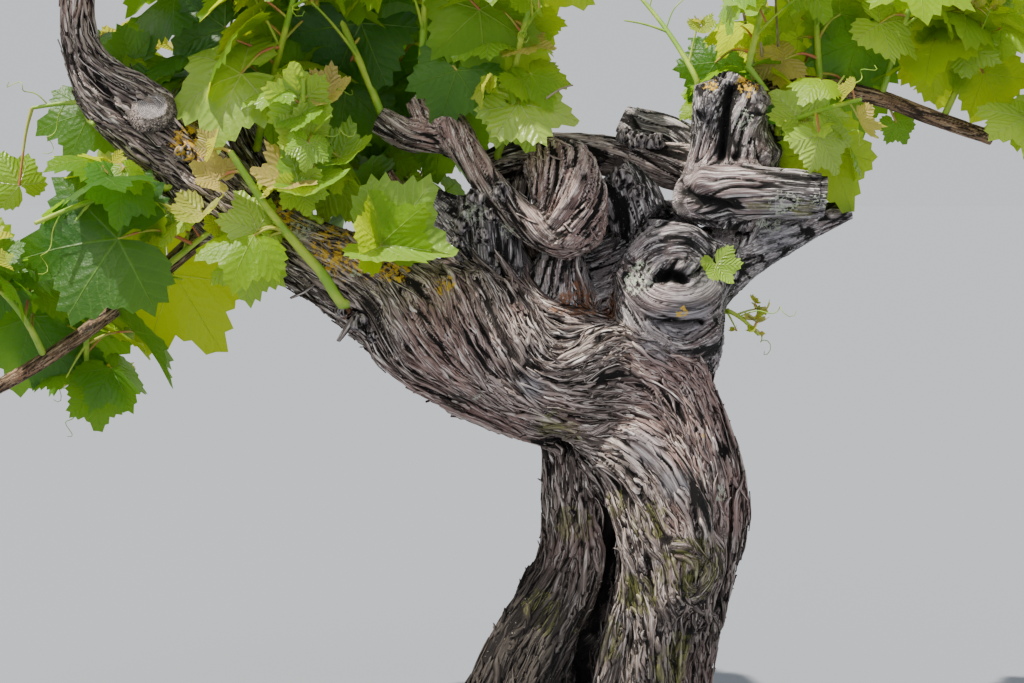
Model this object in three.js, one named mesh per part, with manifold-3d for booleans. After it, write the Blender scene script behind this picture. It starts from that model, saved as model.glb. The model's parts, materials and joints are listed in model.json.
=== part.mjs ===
// An old spur-pruned grapevine, rooted in the ground: a stout twisted trunk, knotted arms and leafy shoots.
// Millimetres, +Z up. The origin is the middle of the flat cut where the trunk meets the ground.
// X runs along the row, from the long arm on the left to the cane on the right. +Y points behind the vine.
import * as THREE from "three";
import { mergeVertices } from "three/addons/utils/BufferGeometryUtils.js";
import Module from "manifold-3d";

const wasm = await Module();
wasm.setup();
const { Manifold, Mesh: SolidMesh } = wasm;

// Driving dimensions
const GAP = 0.3; // clear space between pieces that meet
const FINEST = 0.01; // edges shorter than this, left where solids are joined or cut, are closed up
const STEP_ALONG = 24; // spacing of the rings along a limb
const STEM_STEPS = 4; // rings along a green stem
const STEM_SIDES = 4;
const STEM_TAPER = 0.55; // tip radius over foot radius
const STALK_HALF = 1.1; // half the width of a leaf stalk
const LEAF_THICK = 0.045; // thickness at the middle of a leaf over its length
const TURN_TRIES = 5; // ways a leaf is turned before it is left out
const SEEDS = 997; // number of different seeds

// How leaves grow along a stem. Each spread is the whole width of the seeded play round the value before it.
const GROWTH = {
  firstLeaf: 0.16, // share of the stem below its first leaf
  youngest: 0.42, // size of the last leaf over the first
  sizeSpread: 0.24,
  sideSpread: 1.5, // radians round the stem
  stalk: 0.72, // stalk length over leaf length
  stalkSpread: 0.4,
  lift: 0.5, // how far a stalk rises above level
  liftSpread: 0.5,
  droop: 0.95, // how far a blade tips over from its stalk
  droopSpread: 0.7,
  tiltSpread: 1.1, // radians round the midrib
  sag: 0.16, // how far the rim hangs below the middle, over leaf length
};

// Corners of half a leaf, from its tip round to its stalk: degrees from the tip, and reach over leaf length.
const LEAF_TIP = 1.0;
const LEAF_HALF = [
  { angle: 25, reach: 0.58 },
  { angle: 51, reach: 0.9 },
  { angle: 112, reach: 0.8 },
  { angle: 163, reach: 0.1 },
];

// Bark and leaf colours
const OLD_BARK = { color: 0x6f6057, roughness: 0.95, metalness: 0 };
const GREY_WOOD = { color: 0x5c5557, roughness: 0.9, metalness: 0 };
const YOUNG_WOOD = { color: 0x7b5f4b, roughness: 0.75, metalness: 0 };
const FOLIAGE = { color: 0x6f9a2a, roughness: 0.6, metalness: 0 };

// Each limb is one or more tapering strands that have grown together. A strand's stations are
// [x, y, z, radius]. Flutes are the ridges round it, and turn is how far they wind along it, in degrees.
const LIMBS = [
  {
    name: "trunk",
    skin: OLD_BARK,
    sides: 12,
    flutes: { count: 6, depth: 0.12, turn: 80 },
    strands: [
      // left leg
      [
        [-82, -6, -14, 58], [-72, -8, 40, 48], [-62, -8, 79, 39], [-39, -2, 126, 36],
        [-14, 4, 178, 33], [-8, 8, 240, 33], [2, 12, 312, 36],
      ],
      // right column, which bends over at the top towards the long arm
      [
        [56, 6, -14, 45], [58, 4, 34, 39], [60, 0, 77, 35], [66, -2, 132, 38], [76, -2, 182, 43],
        [77, 0, 232, 47], [60, 0, 286, 50], [34, 4, 326, 52], [-8, 6, 343, 46],
      ],
      // front fold
      [
        [34, -30, -14, 37], [37, -32, 69, 33], [46, -36, 139, 35], [60, -38, 191, 40],
        [56, -34, 240, 42], [28, -18, 282, 38], [-6, 0, 316, 34],
      ],
      // back column
      [
        [-14, 40, -14, 64], [-2, 42, 51, 56], [14, 38, 123, 53], [38, 34, 195, 56],
        [42, 30, 257, 56], [28, 24, 322, 50],
      ],
      // root flare
      [[-46, -12, 112, 26], [-80, -22, 60, 33], [-114, -38, 12, 28], [-134, -48, -16, 21]],
      [[52, -10, 104, 24], [72, -22, 50, 28], [100, -38, 8, 23], [115, -46, -16, 18]],
      [[-4, 44, 116, 34], [-20, 78, 58, 36], [-36, 108, 12, 30], [-44, 122, -16, 24]],
      [[48, 32, 108, 30], [70, 60, 52, 32], [94, 88, 8, 25], [106, 100, -16, 19]],
    ],
  },
  {
    name: "long_arm",
    skin: OLD_BARK,
    sides: 13,
    flutes: { count: 3, depth: 0.06, turn: 60 },
    strands: [
      [
        [30, 2, 334, 50], [-23, -2, 346, 57], [-82, -6, 367, 56], [-133, -8, 387, 51],
        [-171, -8, 406, 42], [-209, -6, 427, 34], [-252, -2, 449, 29], [-295, 4, 473, 29],
        [-330, 6, 503, 31],
      ],
    ],
  },
  {
    name: "long_arm_rise",
    skin: OLD_BARK,
    sides: 10,
    flutes: { count: 3, depth: 0.07, turn: 90 },
    strands: [
      [
        [-312, 6, 488, 28], [-346, 6, 528, 32], [-381, 4, 557, 31], [-410, 2, 580, 25],
        [-430, 0, 606, 17], [-438, 0, 637, 13.5], [-439, 2, 677, 13], [-436, 6, 716, 15],
      ],
    ],
  },
  {
    name: "head_knob",
    skin: GREY_WOOD,
    sides: 12,
    flutes: { count: 2, depth: 0.06, turn: 40 },
    strands: [
      [
        [67, -6, 346, 28], [61, -14, 383, 42], [59, -18, 412, 43], [62, -16, 441, 34],
        [70, -10, 462, 20],
      ],
    ],
  },
  {
    name: "right_arm",
    skin: GREY_WOOD,
    sides: 10,
    flutes: { count: 3, depth: 0.05, turn: 40 },
    strands: [
      [
        [62, 12, 392, 34], [92, 4, 432, 34], [121, -2, 451, 26], [155, -2, 465, 19],
        [188, 2, 477, 13], [214, 6, 485, 9],
      ],
    ],
  },
  {
    name: "rotten_heart",
    skin: OLD_BARK,
    sides: 9,
    flutes: { count: 4, depth: 0.08, turn: 30 },
    strands: [
      [[-84, 32, 396, 26], [-42, 34, 404, 36], [-4, 34, 414, 42], [39, 32, 438, 43], [92, 28, 462, 34]],
    ],
  },
  {
    name: "centre_stub",
    skin: OLD_BARK,
    sides: 10,
    flutes: { count: 2, depth: 0.06, turn: 0 },
    strands: [[[-26, 8, 376, 22], [-29, -4, 406, 24], [-32, -10, 430, 21], [-30, -8, 450, 14]]],
  },
  {
    name: "centre_arm",
    skin: GREY_WOOD,
    sides: 11,
    flutes: { count: 3, depth: 0.09, turn: 60 },
    strands: [
      [
        [-52, 22, 388, 26], [-72, 16, 412, 29], [-93, 12, 440, 28], [-115, 8, 464, 24],
        [-135, 6, 482, 18], [-153, 6, 495, 11],
      ],
    ],
  },
  {
    name: "centre_arm_knot",
    skin: GREY_WOOD,
    sides: 9,
    flutes: { count: 3, depth: 0.08, turn: 50 },
    strands: [[[-82, 0, 446, 20], [-93, -7, 480, 22], [-101, -8, 501, 14]]],
  },
  {
    name: "pruned_spur",
    skin: YOUNG_WOOD,
    sides: 7,
    flutes: { count: 2, depth: 0, turn: 0 },
    strands: [[[-145, 1, 470, 5], [-161, -5, 493, 4.6], [-177, -10, 516, 4.2]]],
  },
  {
    name: "mid_knot",
    skin: GREY_WOOD,
    sides: 10,
    flutes: { count: 3, depth: 0.08, turn: 40 },
    strands: [[[44, 18, 462, 20], [31, 8, 490, 25], [14, 12, 514, 16]]],
  },
  {
    name: "crook_knob",
    skin: OLD_BARK,
    sides: 12,
    flutes: { count: 2, depth: 0.06, turn: 120 },
    strands: [[[-44, -6, 531, 18], [-30, -20, 512, 28], [-22, -30, 488, 31], [-25, -33, 464, 19]]],
  },
  {
    name: "crook_limb",
    skin: OLD_BARK,
    sides: 9,
    flutes: { count: 3, depth: 0.08, turn: 100 },
    strands: [
      [
        [-124, -10, 553, 13], [-107, -18, 528, 12], [-86, -28, 501, 12], [-61, -38, 476, 13.5],
        [-38, -44, 461, 13], [-14, -40, 462, 11],
      ],
    ],
  },
  {
    name: "crook_fork_left",
    skin: OLD_BARK,
    sides: 8,
    flutes: { count: 2, depth: 0.07, turn: 30 },
    strands: [[[-184, -2, 560, 11], [-158, -8, 547, 12], [-128, -12, 544, 10]]],
  },
  {
    name: "crook_fork_right",
    skin: OLD_BARK,
    sides: 8,
    flutes: { count: 2, depth: 0.07, turn: 30 },
    strands: [[[-152, -5, 579, 10.5], [-138, -9, 562, 12], [-120, -12, 546, 11]]],
  },
  {
    name: "back_cordon",
    skin: OLD_BARK,
    sides: 10,
    flutes: { count: 3, depth: 0.07, turn: 60 },
    strands: [
      [
        [-92, 24, 518, 15], [-57, 28, 531, 16], [-14, 34, 533, 16], [30, 36, 530, 17],
        [88, 30, 518, 20],
      ],
    ],
  },
  {
    name: "back_cordon_foot",
    skin: OLD_BARK,
    sides: 9,
    flutes: { count: 3, depth: 0.07, turn: 30 },
    strands: [[[-64, 34, 424, 20], [-72, 32, 470, 17], [-70, 28, 520, 14]]],
  },
  {
    name: "stump",
    skin: GREY_WOOD,
    sides: 10,
    flutes: { count: 3, depth: 0.08, turn: 50 },
    strands: [
      [
        [106, 2, 474, 35], [110, -3, 506, 36], [110, -8, 536, 31], [112, -10, 561, 27],
        [116, -10, 580, 21], [121, -8, 591, 13],
      ],
      [[104, -10, 534, 20], [96, -16, 558, 16], [88, -18, 590, 9]],
      [[122, 4, 486, 24], [137, 2, 520, 21], [137, 2, 556, 13]],
    ],
  },
  {
    name: "back_spur",
    skin: GREY_WOOD,
    sides: 8,
    flutes: { count: 3, depth: 0.1, turn: 40 },
    strands: [[[96, 40, 536, 14], [66, 62, 552, 15], [42, 68, 556, 16], [25, 72, 563, 10]]],
  },
  {
    name: "log_stub",
    skin: GREY_WOOD,
    sides: 11,
    flutes: { count: 2, depth: 0.04, turn: 20 },
    strands: [
      [
        [80, -20, 494, 18], [109, -34, 499, 20], [145, -42, 499, 20], [174, -46, 497, 18.5],
        [186, -47, 496, 12],
      ],
    ],
  },
  {
    name: "left_back_spur",
    skin: OLD_BARK,
    sides: 8,
    flutes: { count: 2, depth: 0.08, turn: 60 },
    strands: [[[-276, 22, 466, 17], [-284, 40, 505, 19], [-300, 48, 536, 16], [-314, 52, 562, 11]]],
  },
  {
    name: "left_cane",
    skin: YOUNG_WOOD,
    sides: 7,
    flutes: { count: 2, depth: 0, turn: 0 },
    strands: [
      [
        [-322, 16, 476, 10], [-351, 18, 451, 8], [-400, 12, 409, 6.8], [-457, 2, 366, 6.4],
        [-508, -6, 335, 6.2], [-566, -14, 309, 5.8], [-612, -18, 294, 5.4],
      ],
    ],
  },
  {
    name: "right_cane",
    skin: YOUNG_WOOD,
    sides: 7,
    flutes: { count: 2, depth: 0, turn: 0 },
    strands: [
      [
        [122, 18, 566, 9], [149, 30, 590, 8], [193, 36, 591, 7.4], [246, 40, 580, 7],
        [294, 42, 563, 6.8], [344, 42, 546, 6.4],
      ],
    ],
  },
];

// Each leafy shoot is one mass: a green stem that leaves its bough, with leaves on alternate sides.
// foot is a point inside the bough, lean is the way it sets off, bow is how far its tip is carried
// sideways and down, leaf is the length of its oldest leaf, and face turns the row of leaves round it.
const SHOOTS = [
  // the long arm and its rise
  { name: "shoot_rise_top_left", foot: [-438, 4, 708], lean: [-0.35, 0.12, 1], long: 210,
    bow: [-30, 10, 0], leaf: 58, leaves: 9, face: 20, thick: 3.4 },
  { name: "shoot_rise_top_right", foot: [-434, 6, 700], lean: [0.5, -0.25, 1], long: 200,
    bow: [20, -20, 0], leaf: 56, leaves: 9, face: 70, thick: 3.4 },
  { name: "shoot_rise_side", foot: [-404, 0, 574], lean: [-0.9, 0.1, 0.1], long: 74,
    bow: [0, -10, -12], leaf: 42, leaves: 3, face: 90, thick: 2.8 },
  { name: "shoot_elbow", foot: [-352, -8, 506], lean: [-0.9, -0.42, -0.05], long: 120,
    bow: [0, -10, -26], leaf: 66, leaves: 5, face: 80, thick: 3.2 },
  { name: "shoot_elbow_back", foot: [-350, 12, 530], lean: [-0.5, 0.8, 0.7], long: 190,
    bow: [-20, 20, -20], leaf: 58, leaves: 8, face: 0, thick: 3.2 },
  { name: "shoot_arm_young", foot: [-240, -8, 452], lean: [-0.08, -0.4, 1], long: 150,
    bow: [10, -6, 0], leaf: 46, leaves: 8, face: 30, thick: 3.4 },
  { name: "shoot_arm_bright", foot: [-204, -34, 408], lean: [-0.74, -0.2, 0.66], long: 150,
    bow: [12, 0, 26], leaf: 50, leaves: 7, face: 60, thick: 4.2 },
  { name: "shoot_arm_front", foot: [-190, -30, 430], lean: [0.5, -0.45, 0.8], long: 62,
    bow: [10, -4, -4], leaf: 48, leaves: 4, face: 70, thick: 3 },
  { name: "shoot_arm_back", foot: [-236, 14, 452], lean: [0.1, 0.75, 0.8], long: 240,
    bow: [0, 30, -10], leaf: 60, leaves: 9, face: 10, thick: 3.6 },
  { name: "shoot_spur_top", foot: [-312, 52, 554], lean: [-0.12, 0.1, 1], long: 250,
    bow: [-20, 10, 0], leaf: 62, leaves: 10, face: 15, thick: 3.6 },
  { name: "shoot_spur_front", foot: [-296, 40, 528], lean: [0.3, -0.5, 1], long: 230,
    bow: [10, -16, 0], leaf: 64, leaves: 9, face: 75, thick: 3.6 },
  // the long cane at the left
  { name: "shoot_cane_inner", foot: [-400, 12, 409], lean: [0.72, -0.22, 0.6], long: 118,
    bow: [0, -8, -6], leaf: 62, leaves: 5, face: 100, thick: 3.6 },
  { name: "shoot_cane_middle", foot: [-470, 0, 358], lean: [-0.2, -0.5, 0.9], long: 130,
    bow: [-30, 0, -26], leaf: 62, leaves: 7, face: 40, thick: 3.2 },
  { name: "shoot_cane_outer", foot: [-552, -12, 315], lean: [-0.2, 0.3, 1], long: 210,
    bow: [-16, 16, 0], leaf: 60, leaves: 9, face: 60, thick: 3.2 },
  { name: "shoot_cane_under", foot: [-436, 6, 381], lean: [-0.1, 0.4, -0.3], long: 70,
    bow: [0, 10, -24], leaf: 58, leaves: 4, face: 60, thick: 3 },
  { name: "shoot_cane_tip", foot: [-604, -18, 297], lean: [-0.9, -0.15, 0.5], long: 100,
    bow: [-6, 0, -20], leaf: 52, leaves: 5, face: 80, thick: 3 },
  // the middle of the head
  { name: "shoot_fork_left", foot: [-178, -4, 557], lean: [-0.42, 0.1, 1], long: 250,
    bow: [-14, 6, 0], leaf: 62, leaves: 10, face: 35, thick: 3.6 },
  { name: "shoot_fork_right", foot: [-150, -6, 574], lean: [0.06, -0.16, 1], long: 260,
    bow: [6, -18, 0], leaf: 64, leaves: 10, face: 0, thick: 3.6 },
  { name: "shoot_cordon_front", foot: [-84, 20, 520], lean: [0.12, -0.42, 1], long: 190,
    bow: [18, -16, 0], leaf: 60, leaves: 8, face: 15, thick: 3.4 },
  { name: "shoot_cordon_back", foot: [-88, 30, 518], lean: [-0.5, 0.62, 0.8], long: 250,
    bow: [-30, 30, 0], leaf: 64, leaves: 10, face: 50, thick: 3.6 },
  { name: "shoot_centre_back", foot: [-136, 14, 482], lean: [-0.3, 0.9, 0.34], long: 180,
    bow: [-20, 20, -10], leaf: 62, leaves: 7, face: 0, thick: 3.4 },
  // the stump and the right cane
  { name: "shoot_stump_top", foot: [121, -8, 582], lean: [0.2, -0.14, 1], long: 190,
    bow: [6, -10, 0], leaf: 52, leaves: 8, face: 20, thick: 3.2 },
  { name: "shoot_stump_left", foot: [92, -14, 574], lean: [-0.42, 0.3, 1], long: 120,
    bow: [-16, 10, -8], leaf: 46, leaves: 5, face: 90, thick: 2.8 },
  { name: "shoot_stump_front", foot: [140, 0, 546], lean: [0.5, -0.62, 0.36], long: 92,
    bow: [16, -14, -10], leaf: 54, leaves: 5, face: 40, thick: 3 },
  { name: "shoot_stump_back", foot: [132, 14, 540], lean: [0.1, 0.9, 0.6], long: 200,
    bow: [10, 26, -10], leaf: 60, leaves: 8, face: 20, thick: 3.4 },
  { name: "shoot_right_inner", foot: [193, 36, 591], lean: [-0.05, 0.05, 1], long: 210,
    bow: [-10, -8, 0], leaf: 58, leaves: 9, face: 30, thick: 3.2 },
  { name: "shoot_right_middle", foot: [246, 40, 580], lean: [0.26, -0.2, 1], long: 220,
    bow: [10, -10, 0], leaf: 58, leaves: 9, face: 70, thick: 3.2 },
  { name: "shoot_right_outer", foot: [300, 42, 561], lean: [0.5, 0.3, 1], long: 200,
    bow: [16, 16, 0], leaf: 56, leaves: 9, face: 40, thick: 3.2 },
  { name: "shoot_right_tip", foot: [334, 42, 549], lean: [0.9, -0.2, 0.5], long: 130,
    bow: [10, -10, -10], leaf: 50, leaves: 6, face: 80, thick: 3 },
  { name: "shoot_head_sucker", foot: [92, -8, 402], lean: [0.8, -0.25, 0.1], long: 46,
    bow: [0, 0, -28], leaf: 30, leaves: 4, face: 100, thick: 2.4 },
];

const UP = new THREE.Vector3(0, 0, 1);
const BEHIND = new THREE.Vector3(0, 1, 0);

// A value from 0 to 1 that depends only on the two numbers given, so the vine grows the same way each time.
function chance(seed, k) {
  const value = Math.sin(seed * 127.1 + k * 311.7) * 43758.5453;
  return value - Math.floor(value);
}

// A seed from a shoot's name, so that one shoot's leaves don't depend on the others in the list.
function seedOf(name) {
  return [...name].reduce((sum, letter) => (sum * 31 + letter.codePointAt(0)) % SEEDS, 7);
}

// The station at share t of a strand: a smooth curve through all of them, radius included.
function stationAt(stations, t) {
  const last = stations.length - 1;
  const place = Math.min(Math.max(t, 0), 1) * last;
  const i = Math.min(Math.floor(place), last - 1);
  const s = place - i;
  const [a, b, c, d] = [i - 1, i, i + 1, i + 2].map((k) => stations[Math.min(Math.max(k, 0), last)]);
  return b.map((_, n) => 0.5 * (2 * b[n] + (c[n] - a[n]) * s + (2 * a[n] - 5 * b[n] + 4 * c[n] - d[n]) * s * s
    + (3 * b[n] - a[n] - 3 * c[n] + d[n]) * s * s * s));
}

function pointAt(stations, t) {
  return new THREE.Vector3(...stationAt(stations, t).slice(0, 3));
}

function headingAt(stations, t) {
  const ahead = pointAt(stations, Math.min(t + 0.01, 1));
  return ahead.sub(pointAt(stations, Math.max(t - 0.01, 0))).normalize();
}

function lengthOf(stations) {
  let sum = 0;
  for (let i = 1; i < stations.length; i += 1) {
    sum += Math.hypot(...[0, 1, 2].map((n) => stations[i][n] - stations[i - 1][n]));
  }
  return sum;
}

// A closed tapering tube along a strand: a three.js cylinder bent along it. grow makes it that much
// fatter and longer.
function tube(stations, sides, rings, flutes, grow) {
  const geometry = new THREE.CylinderGeometry(1, 1, 1, sides, rings);
  const position = geometry.attributes.position;
  const corner = new THREE.Vector3();
  for (let i = 0; i < position.count; i += 1) {
    corner.fromBufferAttribute(position, i);
    const t = corner.y + 0.5;
    const heading = headingAt(stations, t);
    const across = new THREE.Vector3().crossVectors(heading, BEHIND).normalize();
    const out = new THREE.Vector3().crossVectors(across, heading);
    // the corners wind with the ridges, so that each ridge keeps its own corners
    const around = Math.atan2(corner.z, corner.x);
    const angle = around - THREE.MathUtils.degToRad(flutes.turn) * t;
    const ridge = 1 + flutes.depth * Math.cos(flutes.count * around);
    const reach = Math.hypot(corner.x, corner.z) * (stationAt(stations, t)[3] * ridge + grow);
    const overhang = t < 1e-6 ? -grow : t > 1 - 1e-6 ? grow : 0;
    corner.copy(pointAt(stations, t)).addScaledVector(heading, overhang);
    corner.addScaledVector(across, reach * Math.cos(angle)).addScaledVector(out, reach * Math.sin(angle));
    position.setXYZ(i, corner.x, corner.y, corner.z);
  }
  return geometry;
}

// A three.js geometry as a solid that can be joined and cut.
function solidOf(geometry) {
  geometry.deleteAttribute("normal");
  geometry.deleteAttribute("uv");
  const merged = mergeVertices(geometry, 1e-3);
  return new Manifold(new SolidMesh({
    numProp: 3,
    vertProperties: new Float32Array(merged.attributes.position.array),
    triVerts: new Uint32Array(merged.index.array),
  }));
}

function geometryOf(solid) {
  const { vertProperties, triVerts, numProp } = solid.getMesh();
  const corners = new Float32Array((vertProperties.length / numProp) * 3);
  for (let i = 0; i < corners.length / 3; i += 1) {
    corners.set(vertProperties.subarray(i * numProp, i * numProp + 3), i * 3);
  }
  const geometry = new THREE.BufferGeometry();
  geometry.setAttribute("position", new THREE.BufferAttribute(corners, 3));
  geometry.setIndex(new THREE.BufferAttribute(new Uint32Array(triVerts), 1));
  return geometry;
}

// The biggest piece of a solid: what a cut leaves on the far side of a limb is dropped.
function mainPiece(solid) {
  return solid.decompose().reduce((best, piece) => (piece.volume() > best.volume() ? piece : best));
}

function limbSolid(limb, grow) {
  const strands = limb.strands.map((stations) => {
    const rings = Math.max(2, Math.round(lengthOf(stations) / STEP_ALONG));
    return solidOf(tube(stations, limb.sides, rings, limb.flutes, grow));
  });
  const whole = Manifold.union(strands);
  return limb.name === "trunk" ? whole.trimByPlane([0, 0, 1], 0) : whole;
}

function stemStations(shoot) {
  const foot = new THREE.Vector3(...shoot.foot);
  const lean = new THREE.Vector3(...shoot.lean).normalize();
  const bow = new THREE.Vector3(...shoot.bow);
  return [0, 1, 2, 3].map((k) => {
    const t = k / 3;
    const point = foot.clone().addScaledVector(lean, shoot.long * t).addScaledVector(bow, t * t);
    return [point.x, point.y, point.z, shoot.thick * (1 - (1 - STEM_TAPER) * t)];
  });
}

const PLAIN = { count: 1, depth: 0, turn: 0 };

function stemSolid(shoot, grow) {
  return solidOf(tube(stemStations(shoot), STEM_SIDES, STEM_STEPS, PLAIN, grow));
}

// Where leaf k of a shoot sits, on its given try: its stalk's root on the stem, its middle, and its own axes.
function leafPlace(shoot, k, attempt) {
  const roll = (n) => chance(seedOf(shoot.name) + k, n + attempt * 10) - 0.5;
  const share = GROWTH.firstLeaf + (1 - GROWTH.firstLeaf) * ((k + 0.5) / shoot.leaves);
  const stations = stemStations(shoot);
  const root = pointAt(stations, share);
  const heading = headingAt(stations, share);
  const size = shoot.leaf * (1 - (1 - GROWTH.youngest) * share * share) * (1 + GROWTH.sizeSpread * roll(1));
  const first = new THREE.Vector3().crossVectors(heading, BEHIND).normalize();
  const side = THREE.MathUtils.degToRad(shoot.face) + Math.PI * k + GROWTH.sideSpread * roll(2);
  const outward = first.applyAxisAngle(heading, side)
    .addScaledVector(UP, GROWTH.lift + GROWTH.liftSpread * roll(3)).normalize();
  const reach = size * GROWTH.stalk * (1 + GROWTH.stalkSpread * roll(4));
  const middle = root.clone().addScaledVector(outward, reach);
  // the blade tips over from its stalk and hangs, its upper side to the light
  const fall = GROWTH.droop + GROWTH.droopSpread * roll(5);
  const forward = outward.clone().addScaledVector(UP, -fall).normalize();
  const above = UP.clone().addScaledVector(forward, -UP.dot(forward)).normalize();
  above.applyAxisAngle(forward, GROWTH.tiltSpread * roll(6));
  const sideways = new THREE.Vector3().crossVectors(forward, above);
  return { root, middle, forward, above, sideways, size, stalk: outward };
}

// A leaf and its stalk as one closed solid: a lobed star, thick in the middle and sharp at the rim.
function leafSolid(place) {
  const { root, middle, forward, above, sideways, size, stalk } = place;
  const at = (angle, reach) => {
    const a = THREE.MathUtils.degToRad(angle);
    return middle.clone().addScaledVector(forward, size * reach * Math.cos(a))
      .addScaledVector(sideways, size * reach * Math.sin(a))
      .addScaledVector(above, -GROWTH.sag * size * reach * reach);
  };
  const half = LEAF_HALF.length;
  const rim = [...LEAF_HALF].reverse().map((c) => at(-c.angle, c.reach));
  rim.push(at(0, LEAF_TIP), ...LEAF_HALF.map((c) => at(c.angle, c.reach)));
  const thick = (size * LEAF_THICK) / 2;
  const top = middle.clone().addScaledVector(above, thick);
  const under = middle.clone().addScaledVector(above, -thick);
  const foot = root.clone().addScaledVector(stalk, -STALK_HALF);
  const lift = new THREE.Vector3().crossVectors(stalk, sideways).normalize();
  if (lift.dot(above) < 0) lift.negate();
  const corners = [
    ...rim, top, under,
    foot.clone().addScaledVector(lift, STALK_HALF),
    foot.clone().addScaledVector(lift, -STALK_HALF).addScaledVector(sideways, STALK_HALF),
    foot.clone().addScaledVector(lift, -STALK_HALF).addScaledVector(sideways, -STALK_HALF),
  ];
  const last = 2 * half;
  const [t, u, f0] = [last + 1, last + 2, last + 3];
  const faces = [[u, last, 0], [f0, f0 + 2, f0 + 1]];
  for (let i = 0; i < last; i += 1) faces.push([t, i + 1, i], [u, i, i + 1]);
  // the opening between the two corners beside the stalk is carried down to the stalk's root
  const mouth = [t, last, 0];
  for (let i = 0; i < 3; i += 1) {
    const j = (i + 1) % 3;
    faces.push([mouth[i], f0 + j, mouth[j]], [mouth[i], f0 + i, f0 + j]);
  }
  const triVerts = new Uint32Array(faces.flat());
  const vertProperties = new Float32Array(corners.flatMap((c) => c.toArray()));
  const made = new Manifold(new SolidMesh({ numProp: 3, vertProperties, triVerts }));
  return made.volume() < 0 ? null : made;
}

function boxesMeet(a, b) {
  return [0, 1, 2].every((n) => a.min[n] <= b.max[n] && b.min[n] <= a.max[n]);
}

function meets(solid, others) {
  const box = solid.boundingBox();
  return others.some((other) => boxesMeet(box, other.box) && !solid.intersect(other.solid).isEmpty());
}

function boxed(solid) {
  return { solid, box: solid.boundingBox() };
}

function meshOf(name, solid, skin) {
  const clean = mainPiece(solid.simplify(FINEST));
  const mesh = new THREE.Mesh(geometryOf(clean), new THREE.MeshStandardMaterial(skin));
  mesh.name = name;
  return mesh;
}

// Wood: each limb gives way to those before it, with the gap between them.
function growWood(vine) {
  const grown = [];
  for (const limb of LIMBS) {
    const whole = limbSolid(limb, 0);
    const body = grown.length ? mainPiece(whole.subtract(Manifold.union(grown))) : whole;
    grown.push(limbSolid(limb, GAP));
    vine.add(meshOf(limb.name, body, limb.skin));
  }
  return grown;
}

// Foliage: a leaf that would touch wood, another stem or a leaf already there is turned, and at last
// left out.
function growShoots(vine, wood) {
  const allWood = Manifold.union(wood);
  const stems = SHOOTS.map((shoot) => mainPiece(stemSolid(shoot, 0).subtract(allWood)));
  const fatStems = SHOOTS.map((shoot) => boxed(stemSolid(shoot, GAP)));
  const placed = [];
  const boxedWood = wood.map(boxed);
  SHOOTS.forEach((shoot, place) => {
    const inTheWay = [...boxedWood, ...fatStems.filter((_, other) => other !== place)];
    const leaves = [];
    for (let k = 0; k < shoot.leaves; k += 1) {
      for (let attempt = 0; attempt < TURN_TRIES; attempt += 1) {
        const leaf = leafSolid(leafPlace(shoot, k, attempt));
        if (leaf && !meets(leaf, inTheWay) && !meets(leaf, placed)) {
          leaves.push(leaf);
          placed.push(boxed(leaf));
          break;
        }
      }
    }
    vine.add(meshOf(shoot.name, mainPiece(Manifold.union([stems[place], ...leaves])), FOLIAGE));
  });
}

const grapevine = new THREE.Group();
growShoots(grapevine, growWood(grapevine));

export default grapevine;
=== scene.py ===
"""An old spur-pruned grapevine in spring leaf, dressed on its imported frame.

Lengths are worked out in millimetres, as in the part's source, and become metres where a mesh is made.
The wood is one smooth field that all the limbs share. Its skin is carved with bark that runs along the
limbs and along the guide strands laid over them, and loose strips of bark follow the same grain.
"""
import json
import logging
import math
from dataclasses import dataclass, field, replace
from enum import Enum

import bmesh
import bpy
import numpy as np
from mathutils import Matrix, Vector

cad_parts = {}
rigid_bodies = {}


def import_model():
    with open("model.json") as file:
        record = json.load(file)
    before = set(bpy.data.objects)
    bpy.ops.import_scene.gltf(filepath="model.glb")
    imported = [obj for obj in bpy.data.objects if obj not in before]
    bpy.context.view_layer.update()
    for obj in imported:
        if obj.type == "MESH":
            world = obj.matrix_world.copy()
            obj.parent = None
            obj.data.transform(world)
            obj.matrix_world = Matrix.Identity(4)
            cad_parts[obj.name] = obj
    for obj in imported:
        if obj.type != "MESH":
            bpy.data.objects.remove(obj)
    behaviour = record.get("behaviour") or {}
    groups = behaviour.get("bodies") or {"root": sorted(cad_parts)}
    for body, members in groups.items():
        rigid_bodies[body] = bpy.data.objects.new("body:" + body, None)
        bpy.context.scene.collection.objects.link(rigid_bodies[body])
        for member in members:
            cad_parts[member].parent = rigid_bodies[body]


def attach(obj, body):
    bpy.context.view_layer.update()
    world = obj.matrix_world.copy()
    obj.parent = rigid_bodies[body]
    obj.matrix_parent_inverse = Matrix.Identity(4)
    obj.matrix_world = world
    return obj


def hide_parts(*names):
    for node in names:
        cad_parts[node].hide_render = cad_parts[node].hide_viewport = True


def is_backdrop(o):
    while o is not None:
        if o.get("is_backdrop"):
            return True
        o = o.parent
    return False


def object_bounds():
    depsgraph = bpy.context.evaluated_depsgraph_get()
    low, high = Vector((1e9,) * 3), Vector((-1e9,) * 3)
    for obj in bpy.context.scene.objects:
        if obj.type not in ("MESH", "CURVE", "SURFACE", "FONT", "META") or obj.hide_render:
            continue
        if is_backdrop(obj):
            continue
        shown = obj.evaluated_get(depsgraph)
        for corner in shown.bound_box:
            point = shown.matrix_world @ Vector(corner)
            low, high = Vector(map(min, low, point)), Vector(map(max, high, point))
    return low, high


LOG = logging.getLogger("grapevine")
Array = np.ndarray
Item = bpy.types.Object
Material = bpy.types.Material
Mesh = bpy.types.Mesh
Socket = bpy.types.NodeSocket
Triple = tuple[float, float, float]

MM = 0.001
UP = np.array((0.0, 0.0, 1.0))
BEHIND = np.array((0.0, 1.0, 0.0))

# Further than any gap on the vine, in millimetres
FAR = 1e3
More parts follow.
